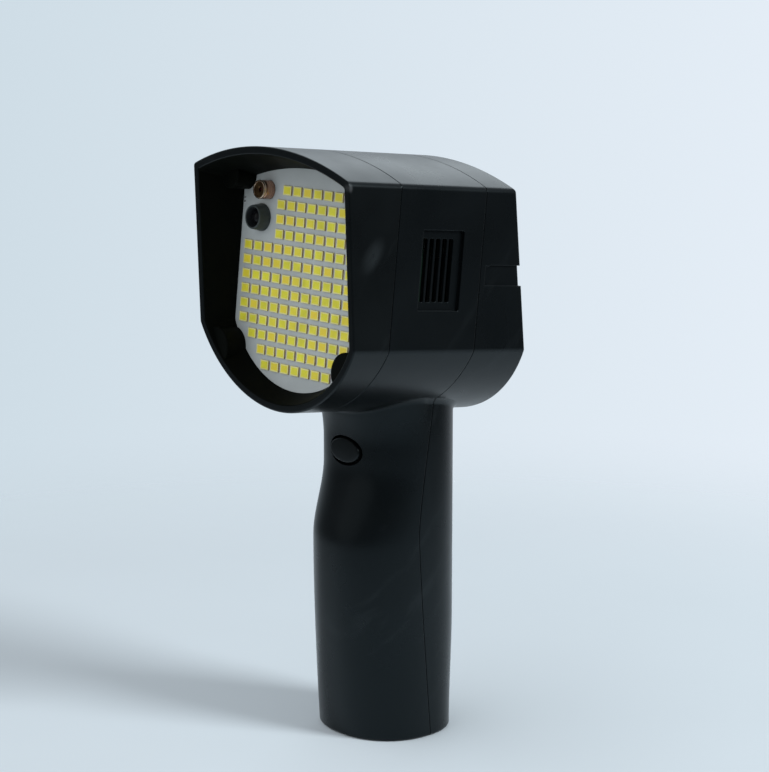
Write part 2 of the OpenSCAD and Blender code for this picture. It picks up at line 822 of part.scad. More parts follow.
// Front and rear half of the case, each given as its head and its grip
module front_case() {
    difference() {
        union() {
            intersection() {
                union() {
                    case_skin();
                    foot_bosses();
                }
                part_side(-2 * past);
            }
            in_head() intersection() {
                head_prism(wall / 2, 0, rear_seam);
                union() {
                    for (place = pillar_places) rod(place, boss_r, sink_back, lug_back);
                    for (place = cover_places) rod(place, boss_r, cover_boss_front, rear_seam);
                }
            }
        }
        in_head() {
            for (side = [-1, 1]) vent(side);
            for (place = pillar_places) rod(place, screw_hole_r, 0, lug_back + bite);
            for (place = cover_places)
                rod(place, screw_hole_r, cover_boss_front + hole_cap, rear_seam + bite);
        }
        oval(trigger_hole_w, trigger_hole_h, [0, trigger_z], -past, trigger_rim_front);
        insert_room();
        foot_screw_holes();
    }
}

module rear_case() {
    difference() {
        union() {
            intersection() {
                union() {
                    case_skin();
                    foot_bosses();
                }
                part_side(2 * past);
            }
            in_head() intersection() {
                head_prism(wall / 2, rear_seam, back_depth + past);
                ahead_of_back(wall / 2);
                for (place = cover_places) rod(place, boss_r, rear_seam, back_depth + past);
            }
            in_back() for (place = main_post_places) rod(place, main_post_r, -main_board_depth, -wall / 2);
            for (place = switch_screw_places) rod(place, post_r, switch_board_back, grip_back - wall / 2);
        }
        in_head() {
            for (side = [-1, 1])
                mirror([side < 0 ? 1 : 0, 0, 0])
                    translate([half_w - groove_depth, rear_seam + groove_seam, groove_low])
                        cube([past, past, groove_h]);
            for (place = cover_places) {
                rod(place, screw_hole_r, rear_seam - bite, cover_seat + bite);
                rod(place, screw_head_r + fit, cover_seat, back_depth + past);
            }
        }
        in_back() {
            bar([0, display_z], display_w, display_h, -2 * wall, bite);
            bar([0, display_z], window_w + 2 * fit, window_h + 2 * fit, -window_t - window_sink, bite);
            for (place = key_places) rod(place, key_hole_r, -2 * wall, bite);
            for (place = main_post_places) rod(place, small_hole_r, -main_board_depth - bite, -wall - bite);
        }
        for (place = switch_screw_places)
            rod(place, small_hole_r, switch_board_back - bite, switch_back + switch_screw_l + tip_gap);
        rod([0, socket_z], socket_r + shank_fit, socket_front, past);
        insert_room();
        foot_screw_holes();
    }
}

module front_shell() {
    color(shell_black) intersection() {
        front_case();
        above_neck();
    }
}

module front_grip() {
    color(shell_black) intersection() {
        front_case();
        below_neck();
    }
}

module rear_shell() {
    color(shell_black) intersection() {
        rear_case();
        above_neck();
    }
}

module rear_grip() {
    color(shell_black) intersection() {
        rear_case();
        below_neck();
    }
}

// A round-headed screw along Y: the head lies from the seat to the back, the shank in front of it
module screw(place, seat, l, r, head_r, head_h) {
    difference() {
        union() {
            rod(place, head_r, seat, seat + head_h);
            rod(place, r, seat - l, seat + head_h / 2);
        }
        bar(place, head_r, cross_w, seat + head_h - cross_depth, seat + head_h + bite);
        bar(place, cross_w, head_r, seat + head_h - cross_depth, seat + head_h + bite);
    }
}

module case_screw(place, seat, l) { screw(place, seat, l, screw_r, screw_head_r, screw_head_h); }

module small_screw(place, seat, l) { screw(place, seat, l, small_screw_r, small_head_r, small_head_h); }

module hood_screws() {
    color(steel) in_head()
        for (place = pillar_places) case_screw(place, lug_back, lug_back - pillar_hole_front - tip_gap);
}

module board_standoffs() {
    color(brass) in_head()
        for (place = standoff_places)
            difference() {
                union() {
                    along(sink_back, driver_front) translate(place) circle(standoff_r, $fn = 6);
                    rod(place, screw_r, sink_back - standoff_stud, sink_back + bite);
                }
                rod(place, small_hole_r, driver_front - standoff_hole_l, driver_front + bite);
            }
}

module driver_board() {
    color(board_green) in_head() {
        difference() {
            translate([-driver_half_w, driver_front, driver_low])
                cube([2 * driver_half_w, board_t, driver_high - driver_low]);
            for (place = standoff_places) rod(place, small_hole_r, 0, past);
        }
        bar([plug_x, plug_z], plug_w, plug_w, driver_back - board_t / 2, driver_back + plug_l);
    }
}

module driver_screws() {
    color(steel) in_head()
        for (place = standoff_places)
            small_screw(place, driver_back, board_t + standoff_hole_l - tip_gap);
}

module capacitors() {
    color(can_blue) in_head()
        for (place = capacitor_places)
            difference() {
                rod(place, capacitor_r, driver_back, driver_back + capacitor_l);
                bar(place, capacitor_r, score_w, driver_back + capacitor_l - score_w, past);
                bar(place, score_w, capacitor_r, driver_back + capacitor_l - score_w, past);
            }
}

module driver_coil() {
    color(dark_grey) in_head() {
        rod(coil_place, coil_r, driver_back, driver_back + coil_flange_t);
        rod(coil_place, coil_r - coil_flange, driver_back, driver_back + coil_l);
        rod(coil_place, coil_r, driver_back + coil_l - coil_flange_t, driver_back + coil_l);
    }
}

module cover_screws() {
    color(steel) in_head()
        for (place = cover_places) case_screw(place, cover_seat, cover_screw_l);
}

module foot_screws() {
    color(steel) for (place = foot_places) case_screw(place, foot_seat, foot_screw_l);
}

// Back panel pieces
module main_board() {
    color(board_green) in_back() difference() {
        translate([-main_board_half_w, -main_board_depth - board_t, main_board_low])
            cube([2 * main_board_half_w, board_t, main_board_high - main_board_low]);
        for (place = main_post_places) rod(place, small_hole_r, -past, 0);
    }
}

module main_board_screws() {
    color(steel) in_back() mirror([0, 1, 0])
        for (place = main_post_places)
            small_screw(place, main_board_depth + board_t, board_t + main_screw_in);
}

module lcd_display() {
    color(lcd_green) in_back()
        bar([0, display_z], display_w + 2 * lcd_margin, display_h + 2 * lcd_margin,
            -main_board_depth, -wall - fit);
}

module display_window() {
    color(window_grey) in_back()
        bar([0, display_z], window_w, window_h, -window_t - window_sink, -window_sink);
}

module key_switches() {
    color(piece_black) in_back()
        for (place = key_places)
            difference() {
                bar(place, key_switch_w, key_switch_w, -main_board_depth, key_switch_front);
                rod(place, key_stem_r + run_gap, key_switch_front - key_well_l, key_switch_front + bite);
            }
}

module key(place) {
    color(key_grey) in_back() {
        rod(place, key_r, key_rim_front - key_rim_t, key_proud);
        rod(place, key_r + key_rim, key_rim_front - key_rim_t, key_rim_front);
        rod(place, key_stem_r, key_stem_tip, key_rim_front);
    }
}

module power_key() { key(key_places[0]); }

module mode_key() { key(key_places[1]); }

module laser_key() { key(key_places[2]); }

module down_key() { key(key_places[3]); }

module up_key() { key(key_places[4]); }

// Grip pieces
module trigger_button() {
    color(shell_black) {
        intersection() {
            oval(trigger_w, trigger_h, [0, trigger_z], trigger_face - bite, trigger_rim_front + bite / 2);
            translate([0, trigger_face + trigger_face_r, trigger_z - past])
                cylinder(r = trigger_face_r, h = 2 * past);
        }
        oval(trigger_w + 2 * trigger_rim, trigger_h + 2 * trigger_rim, [0, trigger_z],
            trigger_rim_front + run_gap, trigger_rim_front + trigger_rim_t);
        rod([0, trigger_z], stem_r, trigger_rim_front + bite / 2, switch_front + stem_in);
    }
}

module trigger_switch() {
    color(piece_black) difference() {
        bar([0, trigger_z], switch_w, switch_h, switch_front, switch_back);
        rod([0, trigger_z], stem_r + run_gap, switch_front - bite, switch_front + switch_well);
    }
}

module switch_board() {
    color(board_green) difference() {
        bar([0, trigger_z], switch_board_w, switch_board_h, switch_back, switch_board_back);
        for (place = switch_screw_places) rod(place, small_hole_r, switch_back - bite, past);
    }
}

module switch_board_screws() {
    color(steel) mirror([0, 1, 0])
        for (place = switch_screw_places) small_screw(place, -switch_back, switch_screw_l);
}

module battery_cells() {
    color(cell_blue)
        for (side = [-1, 1])
            translate([side * cell_x, cell_y, cell_low]) cylinder(r = cell_r, h = cell_high - cell_low);
}

// A plate below and above the cells, joined by a spine in the groove between them
module battery_cradle() {
    plate = [2 * cradle_half_w, cradle_front + cradle_back, cradle_t];
    color(piece_black) {
        for (z = [cradle_low, cradle_high])
            translate([-cradle_half_w, -cradle_front, z]) cube(plate);
        translate([-spine_w / 2, -cradle_front, cradle_low])
            cube([spine_w, cradle_front + spine_back, cradle_high - cradle_low + cradle_t]);
    }
}

module battery_strips() {
    color(nickel) {
        translate([-cell_x - strip_half_w, cell_y - strip_half_d, cell_high])
            cube([2 * (cell_x + strip_half_w), 2 * strip_half_d, strip_t]);
        for (side = [-1, 1])
            translate([side * cell_x - strip_half_w, cell_y - strip_half_d, cell_low - strip_t])
                cube([2 * strip_half_w, 2 * strip_half_d, strip_t]);
    }
}

module battery_lead() {
    color(lead_red) loft([for (k = [0:len(lead_line) - 1]) lead_ring(k)]);
}

module charge_socket() {
    flange_back = grip_rear(socket_z) - wall - socket_flange_gap;
    color(piece_black) {
        difference() {
            union() {
                rod([0, socket_z], socket_r, socket_front, socket_back);
                rod([0, socket_z], socket_r + socket_flange, flange_back - socket_flange_t, flange_back);
            }
            rod([0, socket_z], socket_bore, socket_front + socket_floor, socket_back + bite);
        }
        rod([0, socket_z], socket_pin_r, socket_front + socket_floor / 2, socket_back - socket_pin_in);
    }
}

module tripod_insert() {
    color(brass) difference() {
        union() {
            cylinder(r = insert_r, h = insert_l);
            translate([0, 0, insert_flange_z]) cylinder(r = insert_r + insert_flange, h = insert_flange_h);
        }
        translate([0, 0, -bite]) cylinder(r = insert_thread_r, h = insert_l + 2 * bite);
    }
}

front_hood();
front_shell();
front_grip();
rear_shell();
rear_grip();
led_board();
leds();
led_heatsink();
laser_barrel();
laser_lens();
sensor_tube();
photo_sensor();
hood_screws();
board_standoffs();
driver_board();
driver_screws();
capacitors();
driver_coil();
cover_screws();
foot_screws();
main_board();
main_board_screws();
lcd_display();
display_window();
key_switches();
power_key();
mode_key();
laser_key();
up_key();
down_key();
trigger_button();
trigger_switch();
switch_board();
switch_board_screws();
battery_cells();
battery_cradle();
battery_strips();
battery_lead();
charge_socket();
tripod_insert();
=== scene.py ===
import random
from math import acos, atan2, copysign, cos, hypot, pi, radians, sin, sqrt, tan
import bpy
import bmesh
from bmesh.types import BMEdge, BMFace, BMVert
from mathutils import Matrix, Vector


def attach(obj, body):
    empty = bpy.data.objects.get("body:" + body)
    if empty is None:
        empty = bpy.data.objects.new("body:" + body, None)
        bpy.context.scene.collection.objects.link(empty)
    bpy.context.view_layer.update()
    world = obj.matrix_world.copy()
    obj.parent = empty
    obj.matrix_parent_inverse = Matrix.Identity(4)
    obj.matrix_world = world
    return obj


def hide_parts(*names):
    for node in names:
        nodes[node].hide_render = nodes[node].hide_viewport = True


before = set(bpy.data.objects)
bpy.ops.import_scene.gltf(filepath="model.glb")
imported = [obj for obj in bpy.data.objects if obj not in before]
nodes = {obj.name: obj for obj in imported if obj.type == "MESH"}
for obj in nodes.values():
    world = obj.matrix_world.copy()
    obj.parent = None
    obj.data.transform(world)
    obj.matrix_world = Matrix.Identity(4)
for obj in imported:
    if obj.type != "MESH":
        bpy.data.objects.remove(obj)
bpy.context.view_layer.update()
scene = bpy.context.scene
scene.view_settings.view_transform = "Standard"


def addObject(name, data):
    made = bpy.data.objects.new(name, data)
    scene.collection.objects.link(made)
    return made


def aim(made, place, look):
    made.location = place
    made.rotation_euler = Vector(look).to_track_quat("-Z", "Y").to_euler()


# camera of the photograph, in metres in the part's frame
view = {"place": (0.5951, -0.5165, 0.265), "look": (-0.7412, 0.6439, -0.1901),
        "lens": 116.58, "sensor": 36.0, "near": 0.01}
camera = addObject("photoCamera", bpy.data.cameras.new("photoCamera"))
aim(camera, view["place"], view["look"])
camera.data.sensor_fit, camera.data.sensor_height = "VERTICAL", view["sensor"]
camera.data.lens, camera.data.clip_start = view["lens"], view["near"]
scene.camera = camera
print("camera set")

# sizes are in millimetres: L, W, H, T or R ends the name of a length, width, height, thickness or radius
# head of the stroboscope in its own frame: the lights look along -Y and their faces lie at Y = 0
head = {
    "half": 38.0, "sideTop": 33.5, "crownRise": 7.8, "sideLow": 16.7, "bellyDrop": 23.6, "wall": 2.4,
    "pitch": 6.0, "reach": 33.9, "height": 149.3, "hoodSeam": 5.0, "rearSeam": 40.0, "hoodGap": 0.07,
    "seamGap": 0.13, "backDepth": 59.1, "backLean": 10.8, "crownSteps": 40, "bellySteps": 56,
    "cornerRound": 1.25, "creaseRound": 0.8, "backRound": 0.9, "seamRound": 0.18, "widest": 2.5,
    "segments": 5,
}
crownR = (head["half"] ** 2 + head["crownRise"] ** 2) / (2 * head["crownRise"])
crownZ = head["sideTop"] + head["crownRise"] - crownR
bellyR = (head["half"] ** 2 + head["bellyDrop"] ** 2) / (2 * head["bellyDrop"])
bellyZ = bellyR - head["sideLow"] - head["bellyDrop"]
pitch = radians(head["pitch"])
backLean = radians(head["backLean"])
backSlope = tan(backLean)

hair = 0.01  # places closer than this count as one
toMetres = Matrix.Scale(0.001, 4)
inWhole = Matrix.Identity(4)
inHead = Matrix.Translation((0, -head["reach"], head["height"])) @ Matrix.Rotation(-pitch, 4, "X")
inBack = inHead @ Matrix.Translation((0, head["backDepth"], 0)) @ Matrix.Rotation(backLean, 4, "X")
alongY = Matrix.Rotation(radians(-90), 4, "X")  # a shape that stands on Z then points along +Y


# node helpers: a node that is given as a value is joined by its first output
def join(tree, value, socket):
    if isinstance(value, bpy.types.Node):
        value = value.outputs[0]
    if isinstance(value, bpy.types.NodeSocket):
        tree.links.new(value, socket)
    else:
        socket.default_value = value


def addNode(tree, kind, links=None, **values):
    made = tree.nodes.new("ShaderNode" + kind)
    for label, value in values.items():
        setattr(made, label, value)
    for label, value in (links or {}).items():
        join(tree, value, made.inputs[label])
    return made


def objectPlace(tree):
    return addNode(tree, "TexCoord").outputs["Object"]


def calc(tree, operation, first, second):
    return addNode(tree, "Math", {0: first, 1: second}, operation=operation)


def vectorCalc(tree, operation, *given):
    return addNode(tree, "VectorMath", dict(enumerate(given)), operation=operation)


def turnX(tree, angle, **links):
    return addNode(tree, "VectorRotate", {"Angle": angle, **links}, rotation_type="X_AXIS")


def spread(tree, value, span, ends=(0.0, 1.0), how="LINEAR"):
    return addNode(tree, "MapRange", dict(enumerate((value, *span, *ends))), interpolation_type=how)


def noise(tree, place, scale, detail, **more):
    return addNode(tree, "TexNoise", {"Vector": place, "Scale": scale, "Detail": detail, **more})


def mixTones(tree, share, first, second, blend="MIX"):
    mixed = addNode(tree, "Mix", {0: share, 6: first, 7: second}, data_type="RGBA", blend_type=blend)
    return mixed.outputs[2]


def newGroup(name, inputs, outputs):
    group = bpy.data.node_groups.new(name, "ShaderNodeTree")
    for label, value in inputs.items():
        kind = {3: "Vector", 4: "Color"}[len(value)] if isinstance(value, tuple) else "Float"
        socket = group.interface.new_socket(label, in_out="INPUT", socket_type="NodeSocket" + kind)
        socket.default_value = value
    for label, kind in outputs.items():
        group.interface.new_socket(label, in_out="OUTPUT", socket_type="NodeSocket" + kind)
    return group, group.nodes.new("NodeGroupInput").outputs, group.nodes.new("NodeGroupOutput").inputs


# node groups that several finishes share
grey = (0.5, 0.5, 0.5, 1)
noiseSpan = (0.3, 0.7)  # most of a noise texture's values
surfaceIn = {"Grain": 2500.0, "Smooth": 0.3, "Dull": 0.5}
surfaceOut = {"Height": "Float", "Rough": "Float"}
smudgeSize = 45.0
# shape of the rub cloud, which also breaks up the blots of the smudge and of the painted highlight
rubAndGlintCloud = {"turn": radians(38), "drawn": (1.0, 2.6, 0.55), "size": 34.0, "rough": 0.62, "bent": 0.2,
           "sparse": (0.6, 0.82), "blot": (0.15, 1.0), "broken": (0.35, 0.62), "brokenTo": (0.35, 1.0)}


def makeToneDrift():
    group, given, result = newGroup("toneDrift", {"Tone": grey, "Drift": 0.1, "Size": 60.0},
                                    {"Tone": "Color"})
    cloud = noise(group, objectPlace(group), given["Size"], detail=5.0)
    ends = [calc(group, operation, 1.0, given["Drift"]) for operation in ("SUBTRACT", "ADD")]
    drift = spread(group, cloud, noiseSpan, ends)
    join(group, mixTones(group, 1.0, given["Tone"], drift, "MULTIPLY"), result["Tone"])
    return group


def makeSkinGrain():
    group, given, result = newGroup("skinGrain", surfaceIn, surfaceOut)
    place = objectPlace(group)
    grain = noise(group, place, given["Grain"], detail=3.0)
    smudge = noise(group, place, smudgeSize, detail=4.0, Distortion=0.1)
    join(group, grain, result["Height"])
    join(group, spread(group, smudge, noiseSpan, (given["Smooth"], given["Dull"])), result["Rough"])
    return group


def makeTurnedLines():
    group, given, result = newGroup("turnedLines", surfaceIn, surfaceOut)
    level = turnX(group, pitch, Vector=objectPlace(group))
    along = addNode(group, "SeparateXYZ", {"Vector": level}).outputs["Y"]
    lines = addNode(group, "TexNoise", {"W": along, "Scale": given["Grain"], "Detail": 2.0},
                    noise_dimensions="1D")
    join(group, lines, result["Height"])
    join(group, spread(group, lines, noiseSpan, (given["Smooth"], given["Dull"])), result["Rough"])
    return group


# rubbed marks from a drawn-out cloud, and a blot round a spot: on the hood's side the blot is a smudge, on
# the rim's corner a painted highlight
def makeRubbedMarksAndGlint():
    group, given, result = newGroup(
        "rubbedMarksAndGlint", {"Tone": grey, "WearAndGlintTone": grey, "Amount": 0.0, "SmearAndGlint": 0.0, "Spot": (0, 0, 0),
                        "Spread": (40, 160, 400), "Lean": 0.0}, {"Tone": "Color"})
    place = objectPlace(group)
    drawn = vectorCalc(group, "MULTIPLY", turnX(group, rubAndGlintCloud["turn"], Vector=place), rubAndGlintCloud["drawn"])
    cloud = noise(group, drawn, rubAndGlintCloud["size"], detail=7.0, Roughness=rubAndGlintCloud["rough"],
                  Distortion=rubAndGlintCloud["bent"])
    share = calc(group, "MULTIPLY", spread(group, cloud, rubAndGlintCloud["sparse"]), given["Amount"])
    level = turnX(group, given["Lean"], Vector=place, Center=given["Spot"])
    away = vectorCalc(group, "SUBTRACT", level, given["Spot"])
    reach = vectorCalc(group, "MULTIPLY", away, given["Spread"])
    far = vectorCalc(group, "LENGTH", reach).outputs["Value"]
    blot = spread(group, far, rubAndGlintCloud["blot"], (1.0, 0.0), "SMOOTHSTEP")
    smearAndGlint = calc(group, "MULTIPLY", blot, spread(group, cloud, rubAndGlintCloud["broken"], rubAndGlintCloud["brokenTo"]))
    most = calc(group, "MAXIMUM", share, calc(group, "MULTIPLY", smearAndGlint, given["SmearAndGlint"]))
    join(group, mixTones(group, most, given["Tone"], given["WearAndGlintTone"]), result["Tone"])
    return group


toneDrift, skinGrain = makeToneDrift(), makeSkinGrain()
turnedLines, rubbedMarksAndGlint = makeTurnedLines(), makeRubbedMarksAndGlint()


def useGroup(tree, group, **values):
    return addNode(tree, "Group", values, node_tree=group)


finishes = {}


# a finish: its tone, its roughness from smooth to dull, and how far the tone drifts in what patches
def newFinish(name, tone, rough, cloud=(0.12, 60.0), grain=2500.0, bump=0.2, edge=0.0, turned=False,
              wearAndGlint=(), warm=None, shader=None):
    finish = finishes[name] = bpy.data.materials.new(name)
    finish.use_nodes = True
    tree = finish.node_tree
    skin = tree.nodes["Principled BSDF"].inputs
    shade = useGroup(tree, toneDrift, Tone=(*tone, 1), Drift=cloud[0], Size=cloud[1])
    for marks in wearAndGlint:
        shade = useGroup(tree, rubbedMarksAndGlint, Tone=shade, **marks)
    if warm:
        single = addNode(tree, "Attribute", attribute_name="warm").outputs["Fac"]
        shade = mixTones(tree, single, shade, (*warm, 1))
    join(tree, shade, skin["Base Color"])
    kind = turnedLines if turned else skinGrain
    surface = useGroup(tree, kind, Grain=grain, Smooth=rough[0], Dull=rough[1])
    join(tree, surface.outputs["Rough"], skin["Roughness"])
    relief = addNode(tree, "Bump", {"Strength": bump, "Distance": reliefDepth,
                                    "Height": surface.outputs["Height"]})
    if edge:
        join(tree, addNode(tree, "Bevel", {"Radius": edge}, samples=6), relief.inputs["Normal"])
    join(tree, relief, skin["Normal"])
    for label, value in (shader or {}).items():
        skin[label].default_value = value


def glossy(level, tint=(1.0, 1.0, 1.0)):
    return {"Specular IOR Level": level, "Specular Tint": (*tint, 1)}


reliefDepth = 0.00008
metal = {"Metallic": 1.0}
rubbedTone = (0.018, 0.022, 0.024, 1)
# tone of the pale spot on the hood rim's upper corner: a painted highlight
rimGlintTone = (0.09, 0.095, 0.1, 1)
shellWear = [{"WearAndGlintTone": rubbedTone, "Amount": 0.5}]
hoodWearAndGlint = [
    {"WearAndGlintTone": rubbedTone, "Amount": 0.5, "SmearAndGlint": 0.8, "Spot": (0.038, -0.0372, 0.1617),
     "Spread": (40, 130, 240), "Lean": -0.9},
    # the second entry paints a highlight on the rim's upper corner; the first is wear and a smudge
    {"WearAndGlintTone": rimGlintTone, "SmearAndGlint": 0.6, "Spot": (0.0376, -0.0456, 0.1828), "Spread": (300, 900, 520)},
]
newFinish("shellPlastic", (0.002, 0.0028, 0.0033), (0.25, 0.33), bump=0.12, edge=0.0003, wearAndGlint=shellWear,
          shader=glossy(0.24, (0.74, 0.92, 1.0)))
newFinish("hoodPlastic", (0.002, 0.0027, 0.003), (0.26, 0.35), bump=0.12, edge=0.0003, wearAndGlint=hoodWearAndGlint,
          shader=glossy(0.24, (0.76, 0.93, 1.0)))
# inside of the hood and its pillars: the hood plastic made rougher and less glossy, with a darker tone that
# paints the shade of the hollow
newFinish("hoodInsideMattShade", (0.0014, 0.0023, 0.0015), (0.56, 0.7), shader=glossy(0.06))
newFinish("buttonPlastic", (0.002, 0.0028, 0.003), (0.28, 0.36), bump=0.12, edge=0.0002,
          shader=glossy(0.2, (0.78, 0.94, 1.0)))
newFinish("boardMask", (0.355, 0.39, 0.395), (0.42, 0.58), (0.07, 90), bump=0.1)
newFinish("lightPhosphor", (0.6, 0.575, 0.022), (0.48, 0.66), (0.13, 190), grain=5200, bump=0.35,
          warm=(0.68, 0.53, 0.026))
newFinish("lightFrame", (0.63, 0.6, 0.22), (0.4, 0.55), (0.1, 190))
# sides of the light blocks: a darker orange-brown that paints the shade between neighbouring lights
newFinish("lightSideShade", (0.42, 0.28, 0.07), (0.5, 0.7), (0.2, 220))
newFinish("solderTin", (0.4, 0.36, 0.38), (0.35, 0.6), (0.25, 420), shader={"Metallic": 0.4})
newFinish("pointTin", (0.62, 0.62, 0.62), (0.15, 0.3), (0.1, 420), shader={"Metallic": 0.8})
newFinish("barrelCopper", (0.47, 0.27, 0.19), (0.2, 0.34), (0.16, 300), grain=5200, bump=0.25,
          turned=True, shader=metal)
newFinish("barrelDarkBrass", (0.11, 0.065, 0.03), (0.3, 0.5), (0.4, 420), grain=5200, bump=0.3,
          turned=True, shader=metal)
# the cap's metal is lighter than the barrel's copper: a painted highlight band at the barrel's front
newFinish("barrelCapBright", (0.6, 0.45, 0.33), (0.2, 0.34), (0.1, 300), grain=6000, bump=0.25,
          turned=True, shader=metal)
newFinish("laserLens", (0.035, 0.008, 0.007), (0.06, 0.14), (0.1, 400), bump=0.02,
          shader={"Coat Weight": 0.3})
newFinish("tubeRubber", (0.03, 0.041, 0.041), (0.42, 0.6), (0.16, 240), grain=3600, bump=0.3)
# bore and mouth of the sensor's grommet: the same rubber, darker, as a painted shade in the hollow
newFinish("tubeInsideShade", (0.008, 0.01, 0.012), (0.45, 0.6), (0.16, 240), grain=3600, bump=0.3)
newFinish("sensorResin", (0.003, 0.003, 0.004), (0.24, 0.36), (0.2, 300), bump=0.03, shader=glossy(0.3))
newFinish("screwSteel", (0.5, 0.5, 0.51), (0.25, 0.42), (0.1, 300), grain=5200, shader=metal)
newFinish("insertBrass", (0.62, 0.42, 0.18), (0.24, 0.4), (0.1, 260), grain=4200, bump=0.3, shader=metal)
newFinish("sinkAluminium", (0.58, 0.59, 0.6), (0.32, 0.5), (0.06, 180), grain=3800, shader=metal)
newFinish("circuitMask", (0.006, 0.022, 0.014), (0.3, 0.45), (0.25, 420))
newFinish("capacitorSleeve", (0.02, 0.026, 0.07), (0.25, 0.4), (0.12, 200))
newFinish("ferriteDust", (0.035, 0.036, 0.038), (0.55, 0.75), (0.2, 500), bump=0.4)
newFinish("displayGlass", (0.3, 0.36, 0.27), (0.16, 0.26), (0.04, 70), bump=0.03)
newFinish("displayDigit", (0.012, 0.014, 0.013), (0.3, 0.4), (0.15, 200), bump=0.03)
newFinish("windowClear", (0.86, 0.9, 0.9), (0.02, 0.06), (0.02, 40), bump=0.01,
          shader={"Transmission Weight": 1.0, "IOR": 1.49})
newFinish("keyRubber", (0.055, 0.06, 0.066), (0.46, 0.6), (0.1, 160), grain=3600, bump=0.25)
newFinish("keyMarkWhite", (0.62, 0.64, 0.65), (0.4, 0.55), (0.06, 260))
newFinish("switchNylon", (0.02, 0.02, 0.022), (0.4, 0.55), (0.14, 200))
newFinish("cellSleeve", (0.05, 0.16, 0.33), (0.22, 0.36), (0.08, 90))
newFinish("nickelStrip", (0.6, 0.59, 0.56), (0.22, 0.4), (0.08, 260), shader=metal)
newFinish("leadSheath", (0.3, 0.025, 0.02), (0.35, 0.5), (0.1, 200))
newFinish("socketNylon", (0.014, 0.014, 0.015), (0.32, 0.46), (0.12, 160))
print("finishes made:", len(finishes))

# mesh helpers: shapes are made in millimetres and scaled to metres when a piece is finished
roundSteps = 64


def outward(bm):
    bmesh.ops.recalc_face_normals(bm, faces=bm.faces)


def edgesOf(verts):
    return {e for v in verts for e in v.link_edges}


def pick(geom, kind):
    return [g for g in geom if isinstance(g, kind)]


def pullFace(bm, face, vec):
    pulled = bmesh.ops.extrude_face_region(bm, geom=[face], use_keep_orig=True)["geom"]
    far = pick(pulled, BMVert)
    bmesh.ops.translate(bm, verts=far, vec=vec)
    return far


def addRod(bm, r, low, high, place=(0, 0), frameOf=inWhole, steps=roundSteps):
    middle = Matrix.Translation((place[0], (low + high) / 2, place[1]))
    return bmesh.ops.create_cone(bm, cap_ends=True, segments=steps, radius1=r, radius2=r, depth=high - low,
                                 matrix=frameOf @ middle @ alongY)["verts"]


def addBar(bm, size, middle, frameOf=inWhole):
    place = frameOf @ Matrix.Translation(middle) @ Matrix.Diagonal((*size, 1))
    return bmesh.ops.create_cube(bm, size=1, matrix=place)["verts"]


def addOval(bm, w, h, low, high, z):
    disc = bmesh.ops.create_circle(bm, cap_ends=True, radius=h / 2, segments=roundSteps,
                                   matrix=Matrix.Translation((0, low, 0)) @ alongY)["verts"]
    bmesh.ops.scale(bm, vec=(w / h, 1, 1), verts=disc)
    both = disc + pullFace(bm, disc[0].link_faces[0], (0, high - low, 0))
    bmesh.ops.translate(bm, verts=both, vec=(0, 0, z))
    bmesh.ops.recalc_face_normals(bm, faces=list({f for v in both for f in v.link_faces}))
    return disc


def roundOff(bm, edges, width, segments):
    bmesh.ops.bevel(bm, geom=edges, offset=width, offset_type="OFFSET", affect="EDGES", segments=segments,
                    profile=0.5, material=-1, clamp_overlap=True)


def makeObject(bm, name, frameOf=inWhole):
    bmesh.ops.transform(bm, matrix=frameOf, verts=bm.verts)
    mesh = bpy.data.meshes.new(name)
    bm.to_mesh(mesh)
    bm.free()
    return addObject(name, mesh)


def lathe(name, profile, place, frameOf, closed=False):
    bm = bmesh.new()
    points = [bm.verts.new((r, y, 0)) for r, y in profile]
    lines = [bm.edges.new(pair) for pair in zip(points, points[1:])]
    if closed:
        lines.append(bm.edges.new((points[-1], points[0])))
    bmesh.ops.spin(bm, geom=points + lines, cent=(0, 0, 0), axis=(0, 1, 0), angle=2 * pi,
                   steps=roundSteps, use_merge=True)
    bmesh.ops.remove_doubles(bm, verts=bm.verts, dist=1e-4)
    bmesh.ops.dissolve_degenerate(bm, edges=bm.edges, dist=1e-4)
    outward(bm)
    return makeObject(bm, name, frameOf @ Matrix.Translation((place[0], 0, place[1])))


def settle(piece):
    graph = bpy.context.evaluated_depsgraph_get()
    shaped = bpy.data.meshes.new_from_object(piece.evaluated_get(graph), depsgraph=graph)
    old, piece.data = piece.data, shaped
    piece.modifiers.clear()
    bpy.data.meshes.remove(old)


def carve(piece, tool, how="DIFFERENCE"):
    step = piece.modifiers.new("carve", "BOOLEAN")
    step.operation, step.solver, step.object = how, "EXACT", tool
    settle(piece)
    mesh = tool.data
    bpy.data.objects.remove(tool)
    bpy.data.meshes.remove(mesh)
    return piece


def roundByWeight(piece):
    step = piece.modifiers.new("round", "BEVEL")
    step.limit_method, step.offset_type, step.width = "WEIGHT", "OFFSET", head["widest"]
    step.segments, step.profile, step.use_clamp_overlap = head["segments"], 0.5, False
    settle(piece)


# faces for which isInside holds take the piece's second finish, which is a painted shade on both pieces
# that use it
def paintInside(piece, isInside):
    toHead = inHead.inverted()
    for face in piece.data.polygons:
        face.material_index = int(isInside(toHead @ face.center))


def finishPiece(piece, finish, body="housing", stands=(), smooth=38, even=True):
    mesh = piece.data
    mesh.transform(toMetres)
    for each in finish if isinstance(finish, list) else [finish]:
        mesh.materials.append(finishes[each])
    mesh.shade_smooth()
    mesh.set_sharp_from_angle(angle=radians(smooth))
    if even:
        piece.modifiers.new("evenNormals", "WEIGHTED_NORMAL").keep_sharp = True
    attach(piece, body)
    if stands:
        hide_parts(*stands)
    print("made", piece.name, len(mesh.polygons), "faces")


# outline of the head: two spun arcs and two straight sides, at a depth that may change with the height
def flatAt(y):
    return lambda z: y


def backAt(inset=0.0):
    return lambda z: head["backDepth"] - inset - backSlope * z


